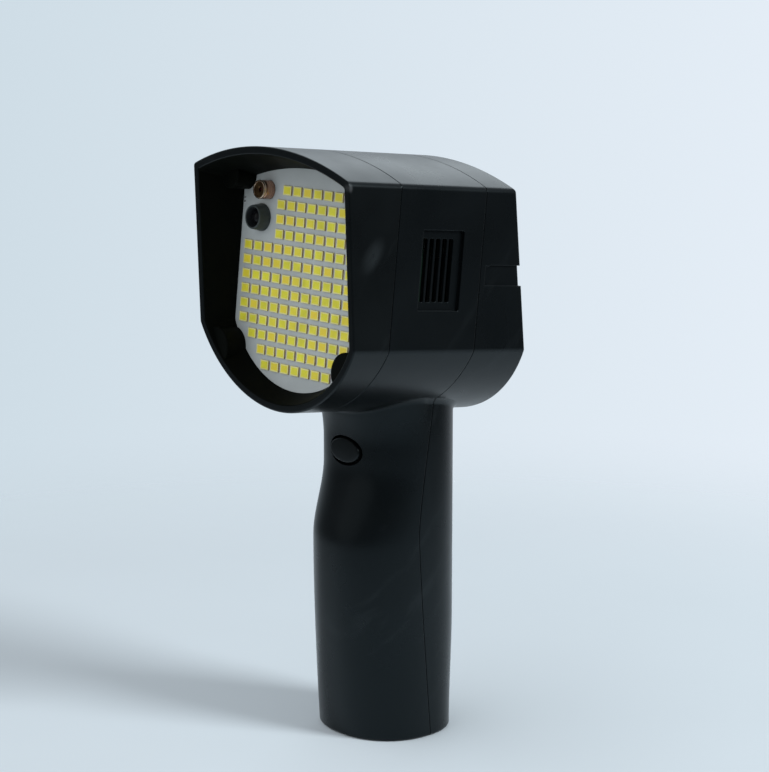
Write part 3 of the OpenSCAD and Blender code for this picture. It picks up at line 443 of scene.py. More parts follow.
def setDepth(edges, depthAt):
    for v in {v for e in edges for v in e.verts}:
        v.co.y = depthAt(v.co.z)


def headLoop(bm, inset, depthAt):
    reach = head["half"] - inset
    before = set(bm.edges)
    ends = []
    for radius, middle, sign, steps in ((crownR - inset, crownZ, 1, head["crownSteps"]),
                                        (bellyR - inset, bellyZ, -1, head["bellySteps"])):
        start = acos(reach / radius)
        first = bm.verts.new((sign * reach, 0, middle + sign * radius * sin(start)))
        spun = bmesh.ops.spin(bm, geom=[first], cent=(0, 0, middle), axis=(0, -1, 0),
                              angle=pi - 2 * start, steps=steps)
        ends += [first, spun["geom_last"][0]]
    bm.edges.new((ends[1], ends[2]))
    bm.edges.new((ends[3], ends[0]))
    edges = [e for e in bm.edges if e not in before]
    setDepth(edges, depthAt)
    return edges, ends


def weighLoop(bm, edges, width):
    layer = bm.edges.layers.float.get("bevel_weight_edge")
    for e in edges:
        e[layer] = width / head["widest"]


def weighCorners(bm, nearEnds, farEnds, top, low):
    for k, width in enumerate((top, top, low, low)):
        weighLoop(bm, [bm.edges.get((nearEnds[k], farEnds[k]))], width)


def makeHeadBlock(name, inset, frontAt, rearAt, soft):
    bm = bmesh.new()
    bm.edges.layers.float.new("bevel_weight_edge")
    front, back = headLoop(bm, inset, frontAt), headLoop(bm, inset, rearAt)
    bmesh.ops.bridge_loops(bm, edges=front[0] + back[0])
    for loop in (front, back):
        bmesh.ops.contextual_create(bm, geom=loop[0])
    outward(bm)
    if soft:
        weighLoop(bm, front[0], head["seamRound"])
        weighLoop(bm, back[0], head["backRound"])
        weighCorners(bm, front[1], back[1], head["cornerRound"], head["creaseRound"])
    made = makeObject(bm, name, inHead)
    if soft:
        roundByWeight(made)
    return made


# front hood with its rim, funnel, board pocket and corner pillars
hood = {
    "rimDepth": 11.3, "rimLean": 8.0, "throat": 6.2, "pocket": 4.2, "boardFront": 0.5, "rimOuter": 0.55,
    "rimInner": 0.5, "throatRound": 0.3, "funnelRound": 0.9, "apart": 60.0, "skinSlack": 0.1,
    "pillarL": 7.0, "pillarRound": 0.6, "pillarTrim": 1.2, "trimFront": 5, "trimBack": 3,
    "pillars": ((31.74, -23.84, 6.3), (-31.74, -23.84, 6.3), (30.6, 30.82, 4.4), (-30.6, 30.82, 4.4)),
}


def rimAt(z):
    return -hood["rimDepth"] - tan(radians(hood["rimLean"])) * z


def skinDepth(spot):
    radius, middle = (crownR, crownZ) if spot.z > 0 else (bellyR, bellyZ)
    return min(head["half"] - abs(spot.x), radius - hypot(spot.x, spot.z - middle))


def makeHood():
    bm = bmesh.new()
    bm.edges.layers.float.new("bevel_weight_edge")
    back, seat = head["hoodSeam"] - head["hoodGap"], hood["boardFront"]
    plan = ((0, flatAt(back)), (0, rimAt), (head["wall"], rimAt), (hood["throat"], flatAt(seat)),
            (hood["pocket"], flatAt(seat)), (hood["pocket"], flatAt(back)))
    loops = [headLoop(bm, inset, flatAt(hood["apart"] * k)) for k, (inset, depthAt) in enumerate(plan)]
    for near, far in zip(loops, loops[1:] + loops[:1]):
        bmesh.ops.bridge_loops(bm, edges=near[0] + far[0])
    for loop, (inset, depthAt) in zip(loops, plan):  # bridged well apart, then put in place
        setDepth(loop[0], depthAt)
    outward(bm)
    widths = (head["seamRound"], hood["rimOuter"], hood["rimInner"], hood["throatRound"])
    for loop, width in zip(loops, widths):
        weighLoop(bm, loop[0], width)
    weighCorners(bm, loops[0][1], loops[1][1], head["cornerRound"], head["creaseRound"])
    weighCorners(bm, loops[2][1], loops[3][1], hood["funnelRound"], hood["funnelRound"])
    shape = makeObject(bm, "frontHood", inHead)
    roundByWeight(shape)
    tools = bmesh.new()
    for x, z, r in hood["pillars"]:
        made = addRod(tools, r, -hood["pillarL"], seat - hair, (x, z))
        lip = [e for e in edgesOf(made) if all(v.co.y < hair - hood["pillarL"] for v in e.verts)]
        roundOff(tools, lip, hood["pillarRound"], segments=3)
    pillars = makeObject(tools, "pillarTool", inHead)
    trim = makeHeadBlock("pillarTrim", hood["pillarTrim"], lambda z: rimAt(z) - hood["trimFront"],
                         flatAt(hood["trimBack"]), False)
    carve(shape, carve(pillars, trim, "INTERSECT"), "UNION")
    # faces deeper than the wall take the inside finish and its painted shade
    paintInside(shape, lambda spot: skinDepth(spot) > head["wall"] - hood["skinSlack"])
    finishPiece(shape, ["hoodPlastic", "hoodInsideMattShade"], stands=("front_hood",))


makeHood()

# case: head and grip in one skin, parted into a front and a rear half
grip = {
    "half": 21.5, "baseBack": 19.3, "back": 20.8, "backZ": 40.0, "baseFront": 19.4, "bulgeFront": 22.5,
    "neckFront": 16.4, "bulgeZ": 64.0, "neckZ": 88.0, "frontPower": 2.2, "rearPower": 2.4, "swell": 1.8,
    "footRound": 1.2, "floor": 2.6, "fillet": 1.6, "filletRun": 6.0, "flare": 1.7,
    "around": 96, "levels": 48, "flareSteps": 9, "filletSteps": 9, "footSteps": 5, "partSteps": 30,
    "apexY": -3.4, "apexZ": 68.0, "baseY": 1.6, "bend": 1.25, "past": 60.0, "partDepth": 150,
}
case = {
    "ventFront": 15.0, "ventL": 17.0, "ventLow": -4.3, "ventH": 24.7, "ventDepth": 1.2, "ventRound": 0.5,
    "slots": 5, "slotW": 1.85, "slotPitch": 2.65, "slotFront": 1.2, "slotMargin": 2.6, "innerAhead": 5,
    "grooveFront": 42.0, "grooveL": 40, "grooveLow": 3.6, "grooveH": 6.4, "grooveDepth": 0.9,
    "grooveBack": 0.35, "grooveSlope": 0.5, "grooveWrap": 33.6, "wrapW": 20, "wrapY": 64,
    "triggerZ": 93.7, "triggerW": 15.6, "triggerH": 9.7, "triggerSpan": (-60, -9),
    "insertR": 5.55, "insertTop": 9.7, "insertUnder": 2,
    "socketZ": 24.0, "socketR": 4.05, "socketSpan": (8, 40),
    "windowZ": 18.0, "windowW": 40.4, "windowH": 17.4, "windowDepth": 1.6, "windowOut": 4,
    "displayW": 37.0, "displayH": 14.0, "displayL": 12, "keyHole": 5.3, "keySpan": (-6, 4),
    "keys": {"power": (-17, -2), "mode": (0, -2), "laser": (17, -2), "down": (-8.5, -15.5),
             "up": (8.5, -15.5)},
    "coverScrews": ((-32.4, -12), (-32.4, 25), (32.4, -12), (32.4, 25)), "coverSpan": (46.0, 90),
    "footScrews": ((-13.5, 6.2), (13.5, 6.2)), "footSpan": (8.0, 40), "footBossSpan": (2.4, 30),
    "bossR": 3.8, "bossGap": 0.3, "wellR": 2.7,
}


def blend(first, last, share):
    return first + (last - first) * share


def ramp(share):
    held = min(max(share, 0.0), 1.0)
    return held * held * (3 - 2 * held)


def quarter(steps):
    return [pi / 2 * k / steps for k in range(steps + 1)]


def rounded(value, power):
    return copysign(abs(value) ** (2 / power), value)


def gripFront(z):
    if z < grip["bulgeZ"]:
        return blend(grip["bulgeFront"], grip["baseFront"], (1 - z / grip["bulgeZ"]) ** grip["swell"])
    rise = (z - grip["bulgeZ"]) / (grip["neckZ"] - grip["bulgeZ"])
    return blend(grip["bulgeFront"], grip["neckFront"], ramp(rise))


def gripXY(angle, z, inset, flare=0.0):
    side, ahead = cos(angle), sin(angle)
    rear = blend(grip["baseBack"], grip["back"], ramp(z / grip["backZ"]))
    deep, power = (gripFront(z), grip["frontPower"]) if ahead < 0 else (rear, grip["rearPower"])
    grow = flare * sqrt(max(0.0, -ahead)) - inset
    return (grip["half"] + grow) * rounded(side, power), (deep + grow) * rounded(ahead, power)


def bellyAt(x, y):
    z = bellyZ - sqrt(bellyR ** 2 - x * x)
    along = (y + head["reach"] - z * sin(pitch)) / cos(pitch)
    return (inHead @ Vector((x, along, z))).z


neckStart = bellyAt(0, grip["back"]) - grip["fillet"] - grip["filletRun"]


# rings of the grip: each gives the place of a point at an angle
def flatRing(z, inset):
    return lambda angle: (*gripXY(angle, z, inset), z)


def bellyRing(below, inset, flare=0.0):
    def at(angle):
        x, y = gripXY(angle, grip["neckZ"], inset, flare)
        return x, y, bellyAt(x, y) - below
    return at


def flareRing(share):
    def at(angle):
        x, y = gripXY(angle, grip["neckZ"], 0, grip["flare"] * share * share)
        return x, y, blend(neckStart, bellyAt(x, y) - grip["fillet"], share)
    return at


def levelsFrom(low, inset, first):
    steps = grip["levels"]
    return [flatRing(blend(low, neckStart, k / steps), inset) for k in range(first, steps + 1)]


def loftGrip(rings, name):
    bm = bmesh.new()
    bmesh.ops.create_circle(bm, cap_ends=False, radius=1, segments=grip["around"])
    angle = bm.verts.layers.float.new("angle")
    for v in bm.verts:
        v[angle] = atan2(v.co.y, v.co.x)
        v.co = rings[0](v[angle])
    edge = bm.edges[:]
    bottom = edge
    for ring in rings[1:]:
        grown = bmesh.ops.extrude_edge_only(bm, edges=edge)["geom"]
        for v in pick(grown, BMVert):
            v.co = ring(v[angle])
        edge = [e for e in pick(grown, BMEdge) if e.is_boundary]
    for end in (bottom, edge):
        bmesh.ops.contextual_create(bm, geom=end)
    outward(bm)
    return makeObject(bm, name)


def makeGripOuter(name):
    foot, fillet, flare = grip["footRound"], grip["fillet"], grip["flare"]
    under, rise = quarter(grip["footSteps"]), quarter(grip["filletSteps"])[:-1]
    rings = [flatRing(foot * (1 - cos(t)), foot * (1 - sin(t))) for t in under]
    rings += levelsFrom(foot, 0, 1)
    rings += [flareRing(k / grip["flareSteps"]) for k in range(1, grip["flareSteps"])]
    rings += [bellyRing(fillet * (1 - sin(t)), -fillet * (1 - cos(t)), flare) for t in rise]
    rings.append(bellyRing(-head["wall"] / 2, -fillet, flare))
    return loftGrip(rings, name)


# what lies before or behind the seam, which bends in the grip and runs straight up the head
def partTool(sign, name):
    past, apexY, apexZ, bend = grip["past"], grip["apexY"], grip["apexZ"], grip["bend"]
    meet = inHead @ Vector((0, head["rearSeam"], bellyZ - bellyR))
    top = inHead @ Vector((0, head["rearSeam"], crownZ + crownR + past))
    shares = [k / grip["partSteps"] for k in range(grip["partSteps"] + 1)]
    line = [(grip["baseY"], -past)]
    line += [(blend(apexY, grip["baseY"], t ** bend), apexZ * (1 - t)) for t in reversed(shares[1:])]
    line += [(blend(apexY, meet.y, t ** bend), blend(apexZ, meet.z, t)) for t in shares]
    line.append((top.y, top.z))
    bm = bmesh.new()
    points = [bm.verts.new((-past, y + sign * head["seamGap"], z)) for y, z in line]
    points += [bm.verts.new((-past, sign * grip["partDepth"], z)) for z in (top.z, -past)]
    pullFace(bm, bm.faces.new(points), (2 * past, 0, 0))
    outward(bm)
    return makeObject(bm, name)


def footBosses():
    bm = bmesh.new()
    for place in case["footScrews"]:
        addRod(bm, case["bossR"], *case["footBossSpan"], place)
    return carve(makeObject(bm, "footBosses"), makeGripOuter("footTrim"), "INTERSECT")


def coverBosses():
    bm = bmesh.new()
    for x, z in case["coverScrews"]:
        low, high = head["rearSeam"] + case["bossGap"], backAt()(z) - head["wall"] / 2
        addRod(bm, case["bossR"], low, high, (x, z), inHead)
    return makeObject(bm, "coverBosses")


def sideBar(bm, depth, low, size):
    middle = [start + length / 2 for start, length in zip(low, size)]
    for side in (-1, 1):
        made = addBar(bm, (2 * depth, *size), (side * head["half"], *middle))
        upright = [e for e in edgesOf(made) if abs(e.verts[0].co.x - e.verts[1].co.x) > hair]
        roundOff(bm, upright, case["ventRound"], segments=3)


def grooveTools():
    depth, long, wide = case["grooveDepth"], case["grooveL"], case["wrapW"]
    high = case["grooveLow"] + case["grooveH"]
    middle = (case["grooveLow"] + high) / 2
    straight, wrap = bmesh.new(), bmesh.new()
    for side in (-1, 1):
        made = addBar(straight, (2 * depth, long, case["grooveH"]),
                      (side * head["half"], case["grooveFront"] + long / 2, middle))
        for v in made:
            if v.co.z > high - hair and abs(v.co.x) < head["half"]:
                v.co.z -= case["grooveSlope"]
        addBar(wrap, (wide, long, case["grooveH"]),
               (side * (case["grooveWrap"] + wide / 2), case["wrapY"], middle))
    core = makeHeadBlock("grooveCore", depth, flatAt(0), backAt(case["grooveBack"]), True)
    overBack = carve(makeObject(wrap, "grooveWrap", inHead), core)
    return makeObject(straight, "grooveTool", inHead), overBack


def insertHole():
    bm, r, top, under = bmesh.new(), case["insertR"], case["insertTop"], case["insertUnder"]
    bmesh.ops.create_cone(bm, cap_ends=True, segments=roundSteps, radius1=r, radius2=r, depth=top + under,
                          matrix=Matrix.Translation((0, 0, (top - under) / 2)))
    return bm


def makeShells():
    wall = head["wall"]
    front = makeHeadBlock("frontShell", 0, flatAt(head["hoodSeam"] + head["hoodGap"]), backAt(), True)
    carve(front, makeGripOuter("gripOuter"), "UNION")
    ahead, behind = flatAt(head["hoodSeam"] - case["innerAhead"]), backAt(wall / cos(backLean))
    carve(front, makeHeadBlock("headInner", wall, ahead, behind, False))
    hollow = levelsFrom(grip["floor"], wall, 0) + [bellyRing(-2 * wall, wall)]
    carve(front, loftGrip(hollow, "gripInner"))
    rear = addObject("rearShell", front.data.copy())
    carve(front, partTool(-1, "frontPart"), "INTERSECT")
    carve(rear, partTool(1, "rearPart"), "INTERSECT")
    print("case parted")

    tools, vents, slots = insertHole(), bmesh.new(), bmesh.new()
    addOval(tools, case["triggerW"], case["triggerH"], *case["triggerSpan"], case["triggerZ"])
    sideBar(vents, case["ventDepth"], (case["ventFront"], case["ventLow"]), (case["ventL"], case["ventH"]))
    slotLow, slotH = case["ventLow"] + case["slotMargin"], case["ventH"] - 2 * case["slotMargin"]
    for k in range(case["slots"]):
        start = case["ventFront"] + case["slotFront"] + k * case["slotPitch"]
        sideBar(slots, 2 * wall, (start, slotLow), (case["slotW"], slotH))
    carve(front, makeObject(tools, "frontHoles"))
    carve(front, makeObject(vents, "ventTool", inHead))
    carve(front, makeObject(slots, "slotTool", inHead))
    finishPiece(front, "shellPlastic", stands=("front_shell", "front_grip"))

    carve(rear, footBosses(), "UNION")
    carve(rear, coverBosses(), "UNION")
    tools, pane = insertHole(), bmesh.new()
    for place in case["footScrews"]:
        addRod(tools, case["wellR"], *case["footSpan"], place)
    addRod(tools, case["socketR"], *case["socketSpan"], (0, case["socketZ"]))
    for place in case["coverScrews"]:
        addRod(tools, case["wellR"], *case["coverSpan"], place, inHead)
    for place in case["keys"].values():
        addRod(tools, case["keyHole"], *case["keySpan"], place, inBack)
    deep, out = case["windowDepth"], case["windowOut"]
    addBar(tools, (case["windowW"], deep + out, case["windowH"]), (0, (out - deep) / 2, case["windowZ"]),
           inBack)
    addBar(pane, (case["displayW"], case["displayL"], case["displayH"]), (0, 0, case["windowZ"]), inBack)
    for tool in (makeObject(tools, "rearHoles"), makeObject(pane, "paneTool"), *grooveTools()):
        carve(rear, tool)
    finishPiece(rear, "shellPlastic", stands=("rear_shell", "rear_grip"))


makeShells()

# lights on their board: blocks with a pane in a pale frame and sides in painted shade, on tinned pads, and
# two solder points
# each row has a light in every column from its first to its last
lights = {
    "long": 3.9, "thick": 0.5, "wide": 3.0, "pitchX": 5.0, "pitchZ": 4.62, "columns": 12, "rows": 13,
    "round": 0.16, "frame": 0.26, "sunk": 0.06, "padL": 0.4, "padW": 2.3, "padT": 0.07, "seed": 11,
    "forward": -0.3, "flat": -0.99, "paneLeast": 4.0,
    "points": ((-31.25, 23.7), (-31.25, 22.5)), "pointR": 0.42, "pointFlat": 0.6,
    "first": (3.5, 3, 3, 3, 0, 0, 0, 0, 0, 0, 1, 2, 2.5),
    "last": (9.5, 11, 11, 11, 11, 11, 11, 11, 11, 11, 10, 9, 8.5),
}
lightPlaces = []
for row, (first, last) in enumerate(zip(lights["first"], lights["last"])):
    for k in range(int(last - first) + 1):
        lightPlaces.append(((first + k - (lights["columns"] - 1) / 2) * lights["pitchX"],
                            ((lights["rows"] - 1) / 2 - row) * lights["pitchZ"]))


def makeLights():
    chance = random.Random(lights["seed"])
    long, thick, padL, padT = (lights[name] for name in ("long", "thick", "padL", "padT"))
    bm = bmesh.new()
    warm = bm.faces.layers.float.new("warm")  # read by the phosphor's finish
    for x, z in lightPlaces:
        addBar(bm, (long, thick, lights["wide"]), (x, thick / 2, z))
    roundOff(bm, [e for e in bm.edges if all(v.co.y < hair for v in e.verts)], lights["round"], segments=2)
    bm.normal_update()
    # fronts and their rounded edges take the pale frame; all other faces take the painted shade of the
    # sides
    for f in bm.faces:
        f.material_index = 1 if f.normal.y < lights["forward"] else 2
    panes = [f for f in bm.faces if f.normal.y < lights["flat"] and f.calc_area() > lights["paneLeast"]]
    bmesh.ops.inset_individual(bm, faces=panes, thickness=lights["frame"], depth=-lights["sunk"],
                               use_even_offset=True)
    for f in panes:
        f.material_index = 0
        f[warm] = chance.random() ** 2
    finishPiece(makeObject(bm, "lightBlocks", inHead), ["lightPhosphor", "lightFrame", "lightSideShade"],
                stands=("leds",), even=False)
    bm = bmesh.new()
    for x, z in lightPlaces:
        for side in (-1, 1):
            addBar(bm, (padL, padT, lights["padW"]), (x + side * (long + padL) / 2, thick - padT / 2, z))
    finishPiece(makeObject(bm, "lightPads", inHead), "solderTin", even=False)
    bm = bmesh.new()
    for x, z in lights["points"]:
        place = Matrix.Translation((x, thick, z)) @ Matrix.Diagonal((1, lights["pointFlat"], 1, 1))
        bmesh.ops.create_uvsphere(bm, u_segments=16, v_segments=10, radius=lights["pointR"], matrix=place)
    finishPiece(makeObject(bm, "boardPoints", inHead), "pointTin")


makeLights()

# laser barrel with its cap, lightened as a painted highlight, slotted ring and lens, and the sensor's
# grommet
laser = {
    "place": (-19.4, 27.2), "r": 3.0, "bore": 2.0, "front": -3.8, "back": 12.0, "floor": 8.0, "edge": 0.25,
    "neck": ((0.3, 0.0), (0.3, 0.2), (0.1, 0.35), (0.04, 0.6)), "capBack": -2.95, "capBore": 2.45,
    "ringFront": -3.35, "ringBack": -3.0, "ringBore": 0.75, "ringEdge": (0.3, 0.25), "fit": 0.02,
    "slotW": 0.6, "slotT": 0.3,
    "lensFront": -2.6, "lensBack": -1.4, "lensCurve": ((0, 0.0), (0.8, 0.08), (1.4, 0.25), (1.95, 0.5)),
}
sensor = {
    "place": (-22.0, 18.3), "r": 3.8, "flangeR": 4.4, "flangeFront": 0.0, "flangeTaper": (0.15, 0.4),
    "flangeEdge": 0.2, "shankR": 3.9, "bore": 2.7, "mouth": 3.2, "mouthL": 2.4, "front": -3.5, "back": 2.1,
    "edge": 0.3,
}


def frontEdge(r, y, edge, bulge=0.3):
    return [(r - edge, y), (r - edge * bulge, y + edge * bulge), (r, y + edge)]


def makeLaser():
    r, edge, place, front, capBack = (laser[name] for name in ("r", "edge", "place", "front", "capBack"))
    capBore, slim, half = laser["capBore"], laser["neck"][-1][0], edge / 2
    cap = [(capBore, capBack), (capBore, front + edge), (capBore + half, front), *frontEdge(r, front, edge),
           (r, capBack - half), (r - half, capBack)]
    finishPiece(lathe("laserCap", cap, place, inHead, closed=True), "barrelCapBright",
                smooth=50)
    body = [(0, laser["floor"]), (laser["bore"], laser["floor"]), (laser["bore"], capBack)]
    body += [(r - inset, capBack + y) for inset, y in laser["neck"]]
    body += [(r - slim, laser["back"] - edge), (r - edge, laser["back"]), (0, laser["back"])]
    finishPiece(lathe("laserBarrel", body, place, inHead), "barrelCopper", stands=("laser_barrel",),
                smooth=50)
    bore, ringFront, fit = laser["ringBore"], laser["ringFront"], capBore - laser["fit"]
    wide, deep = laser["ringEdge"]
    ring = [(bore, ringFront + deep), (bore + wide, ringFront), (fit, ringFront),
            (fit, laser["ringBack"]), (bore, laser["ringBack"])]
    tools = bmesh.new()
    addBar(tools, (2 * r, laser["slotT"], laser["slotW"]), (place[0], ringFront, place[1]), inHead)
    piece = lathe("laserRing", ring, place, inHead, closed=True)
    finishPiece(carve(piece, makeObject(tools, "ringSlot")), "barrelDarkBrass")
    lens = [(x, laser["lensFront"] + y) for x, y in laser["lensCurve"]]
    lens += [(lens[-1][0], laser["lensBack"]), (0, laser["lensBack"])]
    finishPiece(lathe("laserLens", lens, place, inHead), "laserLens", stands=("laser_lens",),
                smooth=50)


def makeSensorTube():
    bore, mouth, flange, shank = sensor["bore"], sensor["mouth"], sensor["flangeR"], sensor["shankR"]
    edge, front, place = sensor["edge"], sensor["front"], sensor["place"]
    board, half = hood["boardFront"] - hair, edge / 2
    lip, back, (thin, ahead) = sensor["flangeEdge"], sensor["back"], sensor["flangeTaper"]
    tube = [(bore, front + sensor["mouthL"]), (mouth, front + half), (mouth + half, front),
            *frontEdge(sensor["r"], front, edge), (flange - thin, sensor["flangeFront"] - ahead),
            (flange, sensor["flangeFront"]), (flange, board - lip), (flange - lip, board), (shank, board),
            (shank, back), (bore, back)]
    piece = lathe("sensorTube", tube, place, inHead, closed=True)
    # faces inside the mouth's radius take the painted shade of the bore
    paintInside(piece, lambda spot: hypot(spot.x - place[0], spot.z - place[1]) < mouth)
    finishPiece(piece, ["tubeRubber", "tubeInsideShade"], stands=("sensor_tube",),
                smooth=50)


makeLaser()
makeSensorTube()

# trigger button: a crowned oval cap, the rim that keeps it in, and its stem
trigger = {
    "w": 13.8, "h": 7.9, "z": 93.7, "face": -16.8, "rimFront": -12.6, "rim": 1.5, "rimT": 1.2, "gap": 0.3,
    "bite": 0.5, "stemR": 1.8, "stemEnd": -6.4, "round": 0.5, "bendX": 110.0, "bendZ": 60.0,
    "rings": (0.8, 0.75, 0.66, 0.5),
}


def makeTrigger():
    w, h, z, rim, rimFront = (trigger[name] for name in ("w", "h", "z", "rim", "rimFront"))
    bm = bmesh.new()
    front = addOval(bm, w, h, trigger["face"], rimFront + trigger["bite"], z)
    lip = [e for e in edgesOf(front) if all(v in front for v in e.verts)]
    roundOff(bm, lip, trigger["round"], segments=6)
    cap = min(bm.faces, key=lambda f: f.calc_center_median().y)
    for share in trigger["rings"]:
        pulled = bmesh.ops.extrude_face_region(bm, geom=[cap])["geom"]
        bmesh.ops.delete(bm, geom=[cap], context="FACES_ONLY")
        cap = pick(pulled, BMFace)[0]
        bmesh.ops.scale(bm, vec=(share, 1, share), space=Matrix.Translation((0, 0, -z)), verts=cap.verts)
    bmesh.ops.poke(bm, faces=[cap])
    outward(bm)
    for v in bm.verts:
        if v.co.y < rimFront:
            share = (rimFront - v.co.y) / (rimFront - trigger["face"])
            dome = v.co.x ** 2 / trigger["bendX"] + (v.co.z - z) ** 2 / trigger["bendZ"]
            v.co.y += share * dome / 2
    button = makeObject(bm, "triggerButton")
    bm = bmesh.new()
    addOval(bm, w + 2 * rim, h + 2 * rim, rimFront + trigger["gap"], rimFront + trigger["rimT"], z)
    carve(button, makeObject(bm, "triggerRim"), "UNION")
    bm = bmesh.new()
    addRod(bm, trigger["stemR"], rimFront + trigger["bite"], trigger["stemEnd"], (0, z))
    carve(button, makeObject(bm, "triggerStem"), "UNION")
    finishPiece(button, "buttonPlastic", "trigger", ("trigger_button",))


makeTrigger()

# keys on the back, with plain signs on their tops
keys = {
    "r": 5.0, "proud": 1.2, "edge": 1.1, "rimFront": -2.7, "rimT": 1.2, "rim": 1.0, "stemR": 1.5,
    "stemEnd": -7.4, "crown": ((0, 0), (2.0, 0.02), (3.4, 0.1), (4.2, 0.28), (4.7, 0.58)),
}
signs = {
    "sunk": 0.1, "proud": 0.05, "line": 0.5, "strokeL": 1.9, "strokeZ": 1.25, "ringR": 1.6,
    "ringStart": 125, "ringTurn": 290, "ringSteps": 28, "rowL": 3.6, "rowPitch": 1.3, "sunR": 0.75,
    "sunSteps": 24, "rays": 8, "rayW": 0.42, "rayL": 0.95, "rayZ": 1.75, "arrowR": 1.9,
}


def addSign(bm, kind):
    low, high, line = keys["proud"] - signs["sunk"], keys["proud"] + signs["proud"], signs["line"]
    middle, thick = (low + high) / 2, high - low
    if kind == "power":
        addBar(bm, (line, thick, signs["strokeL"]), (0, middle, signs["strokeZ"]))
        start, inner, outer = radians(signs["ringStart"]), signs["ringR"], signs["ringR"] + line
        corners = [bm.verts.new((r * cos(start), y, r * sin(start)))
                   for r, y in ((inner, low), (outer, low), (outer, high), (inner, high))]
        bmesh.ops.spin(bm, geom=[bm.faces.new(corners)], cent=(0, 0, 0), axis=(0, -1, 0),
                       angle=radians(signs["ringTurn"]), steps=signs["ringSteps"])
    elif kind == "mode":
        for k in (-1, 0, 1):
            addBar(bm, (signs["rowL"], thick, line), (0, middle, signs["rowPitch"] * k))
    elif kind == "laser":
        addRod(bm, signs["sunR"], low, high, steps=signs["sunSteps"])
        for k in range(signs["rays"]):
            turn = Matrix.Rotation(2 * pi / signs["rays"] * k, 4, "Y")
            addBar(bm, (signs["rayW"], thick, signs["rayL"]), (0, middle, signs["rayZ"]), turn)
    else:
        turn = Matrix.Rotation(pi if kind == "up" else 0.0, 4, "Y")
        addRod(bm, signs["arrowR"], low, high, frameOf=turn, steps=3)
    outward(bm)


def makeKey(kind, place):
    r, proud, stem, front = keys["r"], keys["proud"], keys["stemR"], keys["rimFront"]
    rim, back, body = r + keys["rim"], front - keys["rimT"], kind + "_key_body"
    line = [(x, proud - y) for x, y in keys["crown"]]
    line += [(r, proud - keys["edge"]), (r, front), (rim, front), (rim, back), (stem, back),
             (stem, keys["stemEnd"]), (0, keys["stemEnd"])]
    finishPiece(lathe(kind + "Key", line, place, inBack), "keyRubber", body, (kind + "_key",),
                smooth=45)
    bm = bmesh.new()
    addSign(bm, kind)
    sign = makeObject(bm, kind + "Sign", inBack @ Matrix.Translation((place[0], 0, place[1])))
    finishPiece(sign, "keyMarkWhite", body, even=False)


for kind, place in case["keys"].items():
    makeKey(kind, place)

# window over the display, and four seven-bar digits
display = {
    "paneW": 40.0, "paneH": 17.0, "paneT": 1.5, "sink": 0.1, "round": 0.35, "glass": -2.6, "digitW": 4.6,
    "digitH": 8.6, "bar": 0.95, "barGap": 1.25, "pitch": 7.6, "slant": 0.09, "inkT": 0.05, "shown": "1800",
}
litBars = {"0": "abcdef", "1": "bc", "8": "abcdefg"}


def makeDisplay():
    bm = bmesh.new()
    paneT, sink = display["paneT"], display["sink"]
    addBar(bm, (display["paneW"], paneT, display["paneH"]), (0, -paneT / 2 - sink, case["windowZ"]))
    upper = [e for e in bm.edges if all(v.co.y > -sink - hair for v in e.verts)]
    roundOff(bm, upper, display["round"], segments=3)
    finishPiece(makeObject(bm, "displayWindow", inBack), "windowClear", stands=("display_window",))
    bm = bmesh.new()
    w, h, bar, inkT = (display[name] for name in ("digitW", "digitH", "bar", "inkT"))
    gap = bar * display["barGap"]
    level, upright = (w - gap, inkT, bar), (bar, inkT, h / 2 - gap)
    spots = {"a": (0, h, level), "g": (0, h / 2, level), "d": (0, 0, level),
             "f": (-w / 2, 0.75 * h, upright), "b": (w / 2, 0.75 * h, upright),
             "e": (-w / 2, 0.25 * h, upright), "c": (w / 2, 0.25 * h, upright)}
    for k, figure in enumerate(display["shown"]):
        start = (k - (len(display["shown"]) - 1) / 2) * -display["pitch"]
        for name in litBars[figure]:
            x, z, size = spots[name]
            addBar(bm, size, (start - x, display["glass"] + inkT / 2, z - h / 2))
    for v in bm.verts:
        v.co.x -= v.co.z * display["slant"]
    bmesh.ops.translate(bm, verts=bm.verts, vec=(0, 0, case["windowZ"]))
    finishPiece(makeObject(bm, "displayDigits", inBack), "displayDigit", even=False)


makeDisplay()

# CAD nodes that keep their own shape
dressed = {
    "boardMask": ["led_board"], "sinkAluminium": ["led_heatsink"], "sensorResin": ["photo_sensor"],
    "insertBrass": ["tripod_insert", "board_standoffs"],
    "circuitMask": ["driver_board", "main_board", "switch_board"],
    "screwSteel": ["hood_screws", "driver_screws", "cover_screws", "foot_screws", "main_board_screws",
                   "switch_board_screws"],
    "capacitorSleeve": ["capacitors"], "ferriteDust": ["driver_coil"], "displayGlass": ["lcd_display"],
    "switchNylon": ["key_switches", "trigger_switch", "battery_cradle"], "cellSleeve": ["battery_cells"],
    "nickelStrip": ["battery_strips"], "leadSheath": ["battery_lead"], "socketNylon": ["charge_socket"],
}
for finish, names in dressed.items():
    for name in names:
        nodes[name].data.materials.clear()
        nodes[name].data.materials.append(finishes[finish])
print("CAD nodes dressed")

